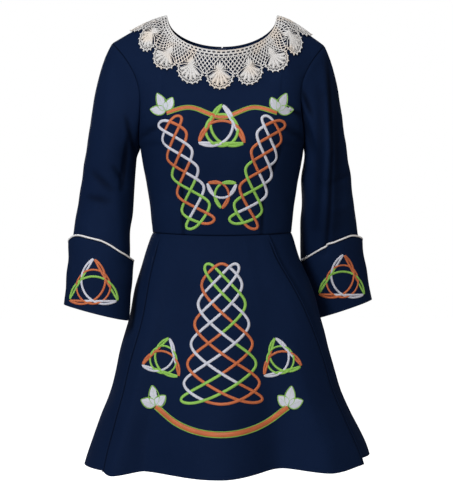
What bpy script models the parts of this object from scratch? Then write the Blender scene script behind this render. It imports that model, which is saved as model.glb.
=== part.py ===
"""Irish dance dress in its worn shape: bodice, sleeves with cuffs, pleated skirt, lace collar, back zip.

Units are metres. +Z is up, the front faces -Y and the wearer's left side lies at +X. The origin is midway
between the two side-neck points, where the dress hangs on the shoulders. Every cloth piece is a wall: a grid
of points on its outer side, and the same grid one wall thickness behind it.
"""

import math

import bmesh
import bpy
import numpy as np
from mathutils import Matrix, Vector
from mathutils.bvhtree import BVHTree
from mathutils.geometry import delaunay_2d_cdt

MM = 0.001
WALL = 1.6 * MM                 # cloth with its stiff backing
SEAM_GAP = 0.3 * MM             # between two pieces that are sewn together
FRONT, BACK = -1.0, 1.0         # sign of Y on each face of the bodice
SIDES = {"right": -1.0, "left": 1.0}  # the wearer's sides and their sign along X

# Bodice
WAIST_Z = -0.410
WAIST_DIP = 0.007               # the waist seam is lower at the centre front
ARMPIT_Z = -0.250
ARMPIT_X = 0.155
NECK_HALF = 0.104
NECK_DROP = {FRONT: 0.077, BACK: 0.046}
NECK_DEPTH = {FRONT: 0.085, BACK: 0.070}
SHOULDER_TIP_Y = 0.004
SHOULDER_TIP = {-1.0: (0.209, SHOULDER_TIP_Y, -0.050), 1.0: (0.195, SHOULDER_TIP_Y, -0.055)}
SHOULDER_RISE = 0.004           # the shoulder seam bows up between neck and tip
ARMHOLE_DIP = 0.030             # the armhole curves in from a straight line
ARMHOLE_DEPTH = {FRONT: 0.085, BACK: 0.090}
SHOULDER_ROUND = 1.2
SHOULDER_BLADES = 0.008
NECK_SPREAD = 0.016             # the grid's lines spread out beside the neck
CHEST_DEPTH = {FRONT: 0.117, BACK: 0.091}
BUST_OUT, BUST_X, BUST_Z, BUST_WIDE, BUST_TALL = 0.012, 0.082, -0.245, 0.038, 0.045
BODICE_COLUMNS = 20
ROWS_BELOW = 6                  # up to the armpits
ROWS_ABOVE = (0.13, 0.26, 0.40, 0.54, 0.68, 0.79, 0.88, 0.95, 1.0)  # closer where the shoulder rounds over

# Sleeves and cuffs
SLEEVE_COLUMNS = 2 * len(ROWS_ABOVE)
CAP_STEPS = (0.15, 0.35, 0.56, 0.78)
SLEEVE_LEVELS = (-0.272, -0.316, -0.360, -0.410, -0.448, -0.505)
CUFF_ROWS = (0.0, 0.25, 0.5, 0.75, 1.0)
CUFF_STAND_OFF = 0.006          # the cuff's top edge stands off the sleeve
PIPING_RADIUS = 1.9 * MM
PIPING_SIDES = 6

# Skirt
SKIRT_END_Z = -0.850
SKIRT_ROWS = (0.0, 0.07, 0.18, 0.32, 0.46, 0.60, 0.74, 0.87, 1.0)
ZIP_END_ROW = 3                 # the zip ends at this row of the skirt
FLUTE_POWER = 1.6               # the flutes deepen towards the hem
PLEAT_RETURN = (0.012, 0.035)   # cloth folded under each pleat, at waist and hem
PLEAT_AIR = (0.0006, 0.0015)    # air between its layers, at waist and hem
PLEAT_STEPS = 2
OUTER_STEPS, SIDE_STEPS, BACK_STEPS = 9, 10, 7
TURN_STEPS = 4

# Lace collar
LACE_REPEATS = 15
LACE_WALL = 1.3 * MM
LACE_LIFT = 1.2 * MM            # over the bodice
LACE_CREST, LACE_CREST_SPREAD = 1.6 * MM, 0.055  # it bridges the tighter curve over the shoulders
LACE_START = 0.8 * MM           # from the neckline's edge
LACE_VALLEY, LACE_SCALLOP = 0.047, 0.025
LACE_PITCH = 0.056              # flat length of a repeat
LACE_STEP, LACE_FAR, LACE_TURNS = 0.004, 0.081, 241  # the bodice's grid under the collar
# Lines of points where the lace turns over the shoulders: angle round the neck, and how far they reach
LACE_CRESTS = ((-98, 0.005), (-90, 0.066), (-82, 0.005), (82, 0.005), (90, 0.066), (98, 0.005))
LACE_END_GAP = 0.0065           # half of the opening over the zip
SCALLOP_HALF = 0.42             # of a repeat
LACE_RAYS_FROM = (0.0, 0.0, -0.14)
RAY_STEP, RAYS_TO = 1.5, 66.0   # degrees below the neckline

# Zip
ZIP_SLIT = 1.2 * MM             # half of the slit between the back panels
ZIP_TAPE_HALF, ZIP_TAPE_THICK, ZIP_TAPE_AIR = 9 * MM, 0.8 * MM, 1.1 * MM
ZIP_RIB_HALF, ZIP_RIB_SUNK = 0.8 * MM, 0.3 * MM
ZIP_TOP_MARGIN = 0.003
SLIDER_Z = -0.060
SLIDER_HALF, SLIDER_LENGTH, SLIDER_THICK = 3.25 * MM, 9 * MM, 2.2 * MM
SLIDER_BEVEL = 0.4 * MM
BAIL_HALF, BAIL_OPEN, BAIL_LEG, BAIL_BAR, BAIL_BEVEL = 1.2 * MM, 2.4 * MM, 2.0 * MM, 1.1 * MM, 0.6 * MM
BAIL_SUNK = 0.3 * MM            # its feet in the slider's body
PULL_THICK, PULL_HALF, PULL_LENGTH = 1.0 * MM, 3.0 * MM, 22 * MM
PULL_BAR_HALF, PULL_EYE_HALF, PULL_EYE_END = 0.7 * MM, 1.8 * MM, 4.6 * MM


def table(columns, *rows):
    """A table of sections: one array for each named column."""
    return dict(zip(columns.split(), np.array(rows, float).T))


TORSO = table(
    "z half_width front back",
    (-0.410, 0.1315, 0.088, 0.068),
    (-0.365, 0.1360, 0.096, 0.072),
    (-0.318, 0.1430, 0.106, 0.080),
    (-0.282, 0.1500, 0.114, 0.087),
    (-0.250, 0.1550, 0.117, 0.091),
)

SLEEVE = {
    "right": table(
        "z outer inner y depth slant",
        (-0.272, 0.2600, 0.163, 0.000, 0.058, 0.000),
        (-0.360, 0.2727, 0.168, -0.005, 0.054, 0.000),
        (-0.410, 0.2790, 0.173, -0.020, 0.050, 0.000),
        (-0.448, 0.2820, 0.172, -0.030, 0.050, 0.003),
        (-0.559, 0.2920, 0.174, -0.050, 0.050, 0.015),
    ),
    "left": table(
        "z outer inner y depth slant",
        (-0.272, 0.2394, 0.1555, 0.000, 0.058, 0.000),
        (-0.316, 0.2470, 0.1510, 0.008, 0.056, 0.000),
        (-0.360, 0.2546, 0.1530, 0.020, 0.054, 0.000),
        (-0.410, 0.2620, 0.151, 0.045, 0.050, 0.000),
        (-0.448, 0.2690, 0.152, 0.060, 0.050, 0.004),
        (-0.560, 0.2926, 0.1726, 0.085, 0.050, 0.020),
    ),
}

# How the cap leaves the armhole: share of its length sideways and down, at the shoulder and at the armpit
CAP_START = {
    "right": table("turn out down", (0, 0.45, 0.75), (180, 0.25, 1.0)),
    "left": table("turn out down", (0, 0.40, 0.80), (180, 0.25, 1.0)),
}

# Long soft folds down the sleeves: angle round the arm (0 outside, 90 in front), top, bottom, height, spread
SLEEVE_FOLDS = {
    "right": (
        (84, -0.060, -0.250, 0.003, 18),
        (108, -0.330, -0.470, 0.003, 18),
        (250, -0.120, -0.400, 0.003, 20),
    ),
    "left": (
        (90, -0.090, -0.440, 0.005, 20),
        (52, -0.120, -0.440, -0.005, 22),
        (262, -0.120, -0.420, 0.003, 20),
    ),
}

CUFF_HEIGHT = table(
    "turn height",
    (0, 0.113), (60, 0.131), (90, 0.131), (135, 0.118), (180, 0.109), (270, 0.120), (360, 0.113),
)

SKIRT = table(
    "z right left front back",
    (-0.410, 0.1315, 0.1315, 0.088, 0.068),
    (-0.424, 0.1380, 0.1370, 0.093, 0.077),
    (-0.454, 0.1480, 0.1460, 0.101, 0.095),
    (-0.500, 0.1615, 0.1660, 0.110, 0.115),
    (-0.576, 0.1785, 0.1900, 0.127, 0.134),
    (-0.637, 0.1940, 0.2050, 0.140, 0.146),
    (-0.698, 0.2090, 0.2220, 0.154, 0.158),
    (-0.758, 0.2300, 0.2490, 0.168, 0.171),
    (-0.819, 0.2530, 0.2770, 0.181, 0.184),
    (-0.850, 0.2620, 0.2870, 0.186, 0.190),
)

# Angles round the skirt run from 0 at the centre front to 90 at the wearer's left side and 180 behind
FLUTES = table(
    "turn out",
    (-207, -0.034), (-180, 0.010), (-150, -0.030), (-132, 0.005), (-90, 0.0), (-55, 0.0),
    (-48, 0.005), (-37, -0.030), (0, 0.012), (25.5, -0.038), (44, 0.006), (65.5, 0.0),
    (90, 0.0), (132, 0.006), (153, -0.034), (180, 0.010), (210, -0.030),
)
HEM = table(
    "turn z",
    (-207, -0.836), (-180, -0.846), (-150, -0.838), (-55, -0.845), (-48, -0.850), (-37, -0.842),
    (0, -0.8455), (25.5, -0.835), (44, -0.8436), (65.5, -0.837), (153, -0.836), (180, -0.846),
    (210, -0.838),
)
SIDE_HEM_Z = {"right": -0.8465, "left": -0.829}
FOLDS = table(
    "z front_right front_left back_right back_left",
    (-0.410, -59, 40, -125, 126),
    (-0.463, -58, 45, -125, 126),
    (-0.560, -56, 57, -125, 126),
    (-0.675, -59, 65, -125, 126),
    (-0.850, -55, 65.5, -125, 126),
)

# Lace holes in one repeat, centred on a scallop: places along the repeat, and distance from the neckline
LACE_SLOTS = (-0.4, -0.2, 0.0, 0.2, 0.4)
LACE_SLOT_FROM, LACE_SLOT_TO, LACE_SLOT_HALF = 0.0080, 0.0125, 0.062
LACE_DIAMONDS = (
    (0.0170, (-0.375, -0.25, 0.25, 0.375, 0.5)),
    (0.0225, (-0.44, -0.31, 0.31, 0.44)),
    (0.0280, (-0.38, 0.38, 0.5)),
    (0.0335, (-0.44, 0.44)),
    (0.0390, (0.5,)),
)
DIAMOND_HALF_WIDE, DIAMOND_HALF_TALL = 0.049, 0.0028
# Points that let the solid middle of a repeat follow the bodice
LACE_MOTIF_SHIFTS, LACE_MOTIF_DISTANCES = (-0.15, 0.0, 0.15), (0.020, 0.031, 0.043, 0.057)

COLOURS = {
    "navy_cloth": ((0.007, 0.011, 0.026), 0.78, 0.0),
    "white_lace": ((0.78, 0.75, 0.70), 0.70, 0.0),
    "white_piping": ((0.80, 0.80, 0.82), 0.45, 0.0),
    "zip_tape": ((0.006, 0.008, 0.016), 0.85, 0.0),
    "zip_metal": ((0.30, 0.30, 0.31), 0.35, 1.0),
}


def smooth_curve(knots, values, at):
    """A smooth curve through the values that doesn't overshoot them: a monotone cubic."""
    order = np.argsort(knots)
    knots, values = np.asarray(knots)[order], np.asarray(values)[order]
    step = np.diff(knots)
    rise = np.diff(values) / step
    slope = np.concatenate([rise[:1], np.zeros(len(rise) - 1), rise[-1:]])
    for i in range(1, len(rise)):
        if rise[i - 1] * rise[i] > 0:
            slope[i] = 2.0 / (1.0 / rise[i - 1] + 1.0 / rise[i])
    at = np.clip(at, knots[0], knots[-1])
    i = np.clip(np.searchsorted(knots, at) - 1, 0, len(step) - 1)
    u = (at - knots[i]) / step[i]
    start = (1 + 2 * u) * (1 - u) ** 2 * values[i] + u * (1 - u) ** 2 * step[i] * slope[i]
    end = u * u * (3 - 2 * u) * values[i + 1] - u * u * (1 - u) * step[i] * slope[i + 1]
    return start + end


def read(sections, column, at):
    """A column of a table, at a value of the table's first column."""
    first = next(iter(sections))
    return smooth_curve(sections[first], sections[column], at)


def mix(a, b, share):
    return a + (b - a) * share


def smoothstep(low, high, value):
    u = np.clip((value - low) / (high - low), 0.0, 1.0)
    return u * u * (3 - 2 * u)


def unit(vectors):
    return vectors / np.linalg.norm(vectors, axis=-1, keepdims=True)


def bodice_row(across, up, face):
    """One row of the bodice: across runs from -1 at the wearer's right to 1, and up from 0 at the waist
    through 1 at the armpits to 2 at the neckline and shoulder seams."""
    if up <= 1.0:
        points = bodice_lower(across, up, face)
    else:
        points = bodice_upper(across, up - 1.0, face)
    if face == FRONT:
        sideways = (np.abs(points[:, 0]) - BUST_X) / BUST_WIDE
        upwards = (points[:, 2] - BUST_Z) / BUST_TALL
        points[:, 1] -= BUST_OUT * np.exp(-0.5 * (sideways ** 2 + upwards ** 2))
    return points


def bodice_lower(across, up, face):
    z = mix(WAIST_Z, ARMPIT_Z, up)
    turn = across * math.pi / 2
    depth = read(TORSO, "front" if face == FRONT else "back", z)
    x = read(TORSO, "half_width", z) * np.sin(turn)
    dip = WAIST_DIP * (1 - up) if face == FRONT else 0.0
    return np.stack([x, face * depth * np.cos(turn), z - dip * np.cos(turn) ** 2], axis=1)


def bodice_top_edge(across, face):
    """The neckline, an ellipse that drops at its middle, and on each side the shoulder seam."""
    side = np.sign(across)
    turn = np.clip(across / 0.5, -1, 1) * math.pi / 2
    along = np.clip((np.abs(across) - 0.5) / 0.5, 0, 1)
    tip = np.array([SHOULDER_TIP[1.0 if value >= 0 else -1.0] for value in side])
    x = NECK_HALF * np.sin(turn) + side * (tip[:, 0] - NECK_HALF) * along
    y = face * NECK_DEPTH[face] * np.cos(turn) + tip[:, 1] * along
    rise = SHOULDER_RISE * np.sin(math.pi * along)
    z = -NECK_DROP[face] * np.cos(turn) + tip[:, 2] * along + rise
    return x, y, z


def bodice_upper(across, up, face):
    over_shoulder = smoothstep(0.2, 0.6, np.abs(across))
    share = mix(up, math.sin(up * math.pi / 2) ** SHOULDER_ROUND, over_shoulder)
    top_x, top_y, top_z = bodice_top_edge(across, face)
    dip = ARMHOLE_DIP * np.sin(math.pi * share ** 1.25)
    beside_neck = np.exp(-(((np.abs(across) - 0.47) / 0.2) ** 2))
    spread = NECK_SPREAD * math.sin(math.pi * up ** 2) * beside_neck
    x = mix(ARMPIT_X * np.sin(across * math.pi / 2), top_x, share)
    x += np.sign(across) * spread - dip * across ** 3
    z = mix(ARMPIT_Z, top_z, share)
    middle = face * mix(CHEST_DEPTH[face], NECK_DEPTH[face], up ** (1.3 if face == FRONT else 1.6))
    if face == BACK:
        middle += SHOULDER_BLADES * math.sin(math.pi * up)
    edge = SHOULDER_TIP_Y * up + face * ARMHOLE_DEPTH[face] * math.sin(0.75 * math.pi * up ** 0.75)
    wrap = mix(math.pi / 2, math.pi / 4, up)
    roundness = (np.cos(across * wrap) - math.cos(wrap)) / (1 - math.cos(wrap))
    turn_in = mix(up ** 2, 1 - math.cos(up * math.pi / 2), over_shoulder)
    y = mix(edge + (middle - edge) * roundness, top_y, turn_in)
    return np.stack([x, y, z], axis=1)


def bodice_grid(face):
    across = np.linspace(-1, 1, BODICE_COLUMNS + 1)
    levels = np.concatenate([np.linspace(0, 1, ROWS_BELOW + 1), 1 + np.array(ROWS_ABOVE)])
    return np.array([bodice_row(across, up, face) for up in levels])


def grid_normals(points, sign, wrap=False):
    """Unit normals of a grid, from its neighbours along rows and columns."""
    up = np.gradient(points, axis=0)
    if wrap:
        along = np.roll(points, -1, axis=1) - np.roll(points, 1, axis=1)
    else:
        along = np.gradient(points, axis=1)
    return sign * unit(np.cross(along, up))


def pull_back(points, edge, inner, distance):
    """Moves the points of an edge towards the next ones, to leave room at a seam."""
    points[edge] += distance * unit(points[inner] - points[edge])


def ring_point(side, level, turn):
    """A ring of the sleeve at a height: turn is 0 outside, 90 in front, 180 inside and 270 behind."""
    sections = SLEEVE[side]
    outer, inner = read(sections, "outer", level), read(sections, "inner", level)
    angle = np.radians(turn)
    out = np.zeros_like(angle)
    for at, top, bottom, height, spread in SLEEVE_FOLDS[side]:
        around = np.exp(-0.5 * ((turn - at) / spread) ** 2)
        along = smoothstep(top, top - 0.05, level) * smoothstep(bottom, bottom + 0.05, level)
        out += height * around * along
    half, depth = (outer - inner) / 2 + out, read(sections, "depth", level) + out
    x = SIDES[side] * ((outer + inner) / 2 + half * np.cos(angle))
    y = read(sections, "y", level) - depth * np.sin(angle)
    z = level + read(sections, "slant", level) * np.cos(angle)
    return np.stack([x, y, z], axis=1)


def sleeve_grid(side, armhole):
    """From the armhole's loop over the cap to the first ring, then ring by ring to the wrist."""
    turn = np.arange(SLEEVE_COLUMNS) * 360.0 / SLEEVE_COLUMNS
    levels = SLEEVE_LEVELS + (SLEEVE[side]["z"].min(),)
    rings = [ring_point(side, level, turn) for level in levels]
    reach = np.linalg.norm(rings[0] - armhole, axis=1, keepdims=True)
    fold_back = np.minimum(turn, 360 - turn)
    out = read(CAP_START[side], "out", fold_back)
    down = read(CAP_START[side], "down", fold_back)
    start = np.stack([SIDES[side] * out, np.zeros_like(out), -down], axis=1) * reach
    end = unit(rings[1] - rings[0]) * reach
    rows = [armhole]
    for u in CAP_STEPS:
        row = (1 + 2 * u) * (1 - u) ** 2 * armhole + u * (1 - u) ** 2 * start
        rows.append(row + u * u * (3 - 2 * u) * rings[0] - u * u * (1 - u) * end)
    return np.array(rows + rings)


def armhole_loop(front, back, column):
    """The armhole's edge from the shoulder down the front to the armpit and up the back."""
    down_front = front[ROWS_BELOW:, column][::-1]
    up_back = back[ROWS_BELOW:, column][1:-1]
    return np.concatenate([down_front, up_back])


def share_normals(first, second):
    """Where two pieces meet nearly flush, their edges take one normal, so their walls stay apart."""
    facing = np.sum(first * second, axis=-1, keepdims=True)
    flush = smoothstep(0.0, 0.5, facing)
    common = unit(first + second)
    return unit(mix(first, common, flush)), unit(mix(second, common, flush))


def build_mesh(name, vertices, faces, material):
    """One named object from its points and faces, with its faces pointing out and smooth shading."""
    mesh = bpy.data.meshes.new(name)
    mesh.from_pydata([tuple(vertex) for vertex in vertices], [], faces)
    shape = bmesh.new()
    shape.from_mesh(mesh)
    bmesh.ops.recalc_face_normals(shape, faces=shape.faces)
    shape.to_mesh(mesh)
    shape.free()
    mesh.shade_smooth()
    mesh.set_sharp_from_angle(angle=math.radians(50))
    mesh.materials.append(MATERIALS[material])
    made = bpy.data.objects.new(name, mesh)
    bpy.context.scene.collection.objects.link(made)
    return made


def grid_triangles(points, wrap=False):
    """Two triangles for each cell of a grid, split along the cell's shorter diagonal."""
    rows, columns = points.shape[:2]
    flat = points.reshape(-1, 3)
    triangles = []
    for row in range(rows - 1):
        for column in range(columns if wrap else columns - 1):
            a, b = row * columns + column, row * columns + (column + 1) % columns
            c, d = b + columns, a + columns
            if np.linalg.norm(flat[a] - flat[c]) < np.linalg.norm(flat[b] - flat[d]):
                triangles += [(a, b, c), (a, c, d)]
            else:
                triangles += [(a, b, d), (b, c, d)]
    return triangles


def cloth(name, points, normals, material, wrap=False):
    """A cloth wall: its outer grid, its inner grid and the edges between them."""
    rows, columns = points.shape[:2]
    vertices = np.concatenate([points.reshape(-1, 3), (points - WALL * normals).reshape(-1, 3)])
    behind = rows * columns
    faces = []
    for triangle in grid_triangles(points, wrap):
        faces.append(triangle)
        faces.append(tuple(behind + corner for corner in reversed(triangle)))
    edges = []
    for row in (0, rows - 1):
        spans = range(columns if wrap else columns - 1)
        edges += [(row * columns + c, row * columns + (c + 1) % columns) for c in spans]
    if not wrap:
        for column in (0, columns - 1):
            edges += [(r * columns + column, (r + 1) * columns + column) for r in range(rows - 1)]
    faces += [(a, b, behind + b, behind + a) for a, b in edges]
    return build_mesh(name, vertices, faces, material)


def cut_plate(name, outline, holes, inside, place, material):
    """A thin plate from a flat outline with holes: place gives a flat point's two ends through the plate."""
    flat, edges = [], []
    for loop in [outline] + holes:
        first = len(flat)
        flat += [Vector(point) for point in loop]
        edges += [(first + i, first + (i + 1) % len(loop)) for i in range(len(loop))]
    loops_end = len(flat)
    flat += [Vector(point) for point in inside]
    around = [list(range(len(outline)))]
    points, _, triangles, _, _, _ = delaunay_2d_cdt(flat, edges, around, 1, 1e-7)
    if len(points) != len(flat):
        raise ValueError(name + ": its loops touch")
    kept = []
    for triangle in triangles:
        middle = sum((points[i] for i in triangle), Vector((0, 0))) / 3
        if not any(in_loop(middle, hole) for hole in holes):
            kept.append(triangle)
    ends = [place(point) for point in points]
    vertices = [end[0] for end in ends] + [end[1] for end in ends]
    behind = len(points)
    faces = [tuple(t) for t in kept] + [tuple(behind + i for i in reversed(t)) for t in kept]
    sides = border_edges(kept)
    faces += [(a, b, behind + b, behind + a) for a, b in sides if a < loops_end and b < loops_end]
    return build_mesh(name, vertices, faces, material)


def in_loop(point, loop):
    """Whether a flat point lies inside a convex loop."""
    turns = [(b[0] - a[0]) * (point.y - a[1]) - (b[1] - a[1]) * (point.x - a[0])
             for a, b in zip(loop, loop[1:] + loop[:1])]
    return min(turns) > 0 or max(turns) < 0


def border_edges(triangles):
    """The edges that belong to one triangle only."""
    seen = {}
    for triangle in triangles:
        for a, b in zip(triangle, triangle[1:] + triangle[:1]):
            key = (min(a, b), max(a, b))
            seen[key] = None if key in seen else (a, b)
    return [edge for edge in seen.values() if edge]


def bodice_normals(front, back):
    """The normals of both faces, agreed along the shoulder and side seams."""
    front_normals, back_normals = grid_normals(front, 1), grid_normals(back, -1)
    below = ROWS_BELOW
    shoulder = np.abs(np.linspace(-1, 1, BODICE_COLUMNS + 1)) >= 0.5
    common = unit(front_normals[-1] + back_normals[-1])
    front_normals[-1, shoulder] = common[shoulder]
    back_normals[-1, shoulder] = common[shoulder]
    for column in (0, -1):
        common = unit(front_normals[:below + 1, column] + back_normals[:below + 1, column])
        front_normals[:below + 1, column] = common
        back_normals[:below + 1, column] = common
    return front_normals, back_normals


def add_sleeves(front, back, front_normals, back_normals):
    """Both sleeves with their cuffs and piping; the armhole edges of bodice and sleeve share normals."""
    for side, sign in SIDES.items():
        column = -1 if sign > 0 else 0
        points = sleeve_grid(side, armhole_loop(front, back, column))
        normals = grid_normals(points, sign, wrap=True)
        bodice_edge = armhole_loop(front_normals, back_normals, column)
        bodice_edge, normals[0] = share_normals(bodice_edge, normals[0])
        armpit = len(ROWS_ABOVE)
        front_normals[ROWS_BELOW:, column] = bodice_edge[:armpit + 1][::-1]
        back_normals[ROWS_BELOW:-1, column] = bodice_edge[armpit:]
        back_normals[-1, column] = bodice_edge[0]
        add_cuff(side, points, normals)
        pull_back(points, 0, 1, SEAM_GAP / 2)
        cloth("sleeve_" + side, points, normals, "navy_cloth", wrap=True)


def add_cuff(side, sleeve, normals):
    """A deep cuff that lies on the sleeve's end and stands off it at the top, with piping on its top edge."""
    turn = np.arange(SLEEVE_COLUMNS) * 360.0 / SLEEVE_COLUMNS
    height = read(CUFF_HEIGHT, "height", turn)
    rows, facing = [], []
    for share in CUFF_ROWS:
        stand_off = mix(SEAM_GAP + WALL, CUFF_STAND_OFF + WALL, share ** 1.5)
        row, out = [], []
        for column in range(SLEEVE_COLUMNS):
            line, line_normals = sleeve[::-1, column], normals[::-1, column]
            z = line[0, 2] + height[column] * share
            place = [np.interp(z, line[:, 2], line[:, axis]) for axis in range(3)]
            outward = unit(np.array([np.interp(z, line[:, 2], line_normals[:, axis]) for axis in range(3)]))
            row.append(np.array(place) + stand_off * outward)
            out.append(outward)
        rows.append(row)
        facing.append(out)
    points, outward = np.array(rows), np.array(facing)
    cloth("cuff_" + side, points, outward, "navy_cloth", wrap=True)
    rise = unit(points[-1] - points[-2])
    centre = points[-1] - WALL / 2 * outward[-1] + (PIPING_RADIUS + SEAM_GAP) * rise
    add_tube("cuff_piping_" + side, centre, outward[-1], rise)


def add_tube(name, centre, outward, rise):
    """A closed round cord along a loop of points."""
    sides = np.arange(PIPING_SIDES) * 2 * math.pi / PIPING_SIDES
    rings = [centre + PIPING_RADIUS * (math.cos(a) * outward + math.sin(a) * rise) for a in sides]
    count = len(centre)
    vertices = np.concatenate(rings)
    faces = []
    for ring in range(PIPING_SIDES):
        for i in range(count):
            a, b = ring * count + i, ring * count + (i + 1) % count
            shift = count if ring < PIPING_SIDES - 1 else count - PIPING_SIDES * count
            faces.append((a, b, b + shift, a + shift))
    return build_mesh(name, vertices, faces, "white_piping")


def skirt_line(turn, z):
    """A point of the skirt's outer line, as x and y, at an angle round the body and a height."""
    angle = math.radians(turn)
    half = read(SKIRT, "right" if turn < 0 else "left", z)
    depth = read(SKIRT, "front" if abs(turn) < 90 else "back", z)
    down = np.clip((WAIST_Z - z) / (WAIST_Z - SKIRT_END_Z), 0, 1)
    flute = read(FLUTES, "out", turn) * down ** FLUTE_POWER
    return np.array([(half + flute) * math.sin(angle), -(depth + flute) * math.cos(angle), z])


def skirt_frame(turn, z):
    """The skirt line's point, with its outward normal and its direction of growing angle, both level."""
    step = 0.5
    along = unit(skirt_line(turn + step, z) - skirt_line(turn - step, z))
    return skirt_line(turn, z), np.array([along[1], -along[0], 0.0]), along


def waist_z(turn):
    return WAIST_Z - WAIST_DIP * max(0.0, math.cos(math.radians(turn))) ** 2 - SEAM_GAP / 2


def row_z(turn, row):
    return mix(waist_z(turn), read(HEM, "z", turn), row)


class Pleat:
    """The layers of one knife pleat at one row: outer edge, cloth folded under, and the panel below it."""

    def __init__(self, fold, outward, row):
        level = mix(WAIST_Z, SKIRT_END_Z, row)
        self.edge = float(read(FOLDS, fold, level))
        self.outward, self.row = outward, row
        self.air = mix(*PLEAT_AIR, row)
        self.layer = 2 * WALL + self.air
        degree = np.linalg.norm(skirt_line(self.edge + 1, level) - skirt_line(self.edge - 1, level)) / 2
        self.root = self.edge - outward * mix(*PLEAT_RETURN, row) / degree

    def frame(self, turn):
        return skirt_frame(turn, row_z(turn, self.row))

    def outer(self, start, steps):
        """The panel's outer layer from an angle to the pleat's edge, then its turn and the cloth under it."""
        turns = list(np.linspace(start, self.root, steps + 1))
        turns += list(np.linspace(self.root, self.edge, PLEAT_STEPS + 1))[1:]
        path = [(point, normal) for point, normal, _ in map(self.frame, turns)]
        point, normal, along = self.frame(self.edge)
        for theta in np.linspace(0, math.pi, TURN_STEPS + 1)[1:]:
            way = math.cos(theta) * normal + math.sin(theta) * self.outward * along
            path.append((point - self.layer / 2 * normal + self.layer / 2 * way, way))
        for turn in np.linspace(self.edge, self.root, PLEAT_STEPS + 1)[1:]:
            point, normal, _ = self.frame(turn)
            path.append((point - self.layer * normal, -normal))
        return path

    def under(self):
        """The turn at the pleat's root and the layer that comes out below its edge."""
        point, normal, along = self.frame(self.root)
        path = []
        for theta in np.linspace(0, math.pi, TURN_STEPS // 2 + 1):
            way = math.cos(theta) * normal - math.sin(theta) * self.outward * along
            path.append((point - (self.layer + self.air / 2) * normal + self.air / 2 * way, -way))
        for turn in np.linspace(self.root, self.edge, PLEAT_STEPS + 1)[1:]:
            point, normal, _ = self.frame(turn)
            path.append((point - (self.layer + self.air) * normal, normal))
        return path


def side_path(side, row):
    """A side panel's row, from under the front pleat to under the back pleat."""
    sign = SIDES[side]
    front = Pleat("front_" + side, sign, row)
    back = Pleat("back_" + side, -sign, row)
    path = front.under()
    for share in np.linspace(0, 1, SIDE_STEPS + 1)[1:-1]:
        turn = mix(front.edge, back.edge, share)
        point, normal, _ = skirt_frame(turn, mix(waist_z(turn), SIDE_HEM_Z[side], row))
        sunk = mix(front.layer + front.air, 0, math.sin(math.pi * share) ** 2)
        path.append((point - sunk * normal, normal))
    return path + back.under()[::-1]


def front_path(row):
    right = Pleat("front_right", -1.0, row).outer(0.0, OUTER_STEPS)
    left = Pleat("front_left", 1.0, row).outer(0.0, OUTER_STEPS)
    return right[::-1] + left[1:]


def back_path(side, row):
    sign = SIDES[side]
    return Pleat("back_" + side, -sign, row).outer(180.0 * sign, BACK_STEPS)


def skirt_panel(name, path_of_row, material, zip_side=0.0):
    rows = [path_of_row(row) for row in SKIRT_ROWS]
    points = np.array([[point for point, _ in row] for row in rows])
    normals = np.array([[normal for _, normal in row] for row in rows])
    pull_back(points, (slice(None), -1), (slice(None), -2), SEAM_GAP / 2)
    if zip_side:
        points[:ZIP_END_ROW + 1, 0, 0] = zip_side * ZIP_SLIT
        points[ZIP_END_ROW + 1:, 0, 0] = zip_side * SEAM_GAP / 2
    else:
        pull_back(points, (slice(None), 0), (slice(None), 1), SEAM_GAP / 2)
    cloth(name, points, normals, material)


def add_skirt():
    skirt_panel("skirt_front", front_path, "navy_cloth")
    for side, sign in SIDES.items():
        skirt_panel("skirt_side_" + side, lambda row: side_path(side, row), "navy_cloth")
        skirt_panel("skirt_back_" + side, lambda row: back_path(side, row), "navy_cloth", zip_side=sign)


def add_bodice_panels(front, back, front_normals, back_normals):
    """Seams pulled apart by their gap: sides, shoulders, armholes, waist and the zip's slit."""
    shoulder = np.flatnonzero(np.abs(np.linspace(-1, 1, BODICE_COLUMNS + 1)) >= 0.5)
    for points in (front, back):
        pull_back(points, (slice(None), 0), (slice(None), 1), SEAM_GAP / 2)
        pull_back(points, (slice(None), -1), (slice(None), -2), SEAM_GAP / 2)
        pull_back(points, (-1, shoulder), (-2, shoulder), SEAM_GAP / 2)
        points[0, :, 2] += SEAM_GAP / 2
    cloth("bodice_front", front, front_normals, "navy_cloth")
    middle = BODICE_COLUMNS // 2
    for side, sign in SIDES.items():
        columns = slice(middle, None) if sign > 0 else slice(0, middle + 1)
        panel = back[:, columns].copy()
        edge = 0 if sign > 0 else -1
        panel[:, edge, 0] = sign * ZIP_SLIT
        cloth("bodice_back_" + side, panel, back_normals[:, columns], "navy_cloth")


def surface_tree(grids):
    """The bodice's outer side as a search tree for rays."""
    vertices, faces = [], []
    for points in grids:
        first = len(vertices)
        vertices += [tuple(point) for point in points.reshape(-1, 3)]
        faces += [tuple(first + corner for corner in t) for t in grid_triangles(points)]
    return BVHTree.FromPolygons(vertices, faces)


def neckline_point(turn):
    """The neckline at an angle round the neck: 0 in front, 90 at the wearer's left."""
    face = FRONT if abs(turn) < 90 else BACK
    angle = math.radians(turn)
    place = math.atan2(math.sin(angle) / NECK_HALF, abs(math.cos(angle)) / NECK_DEPTH[face])
    drop = math.cos(place)
    return np.array([NECK_HALF * math.sin(place), face * NECK_DEPTH[face] * drop, -NECK_DROP[face] * drop])


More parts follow.
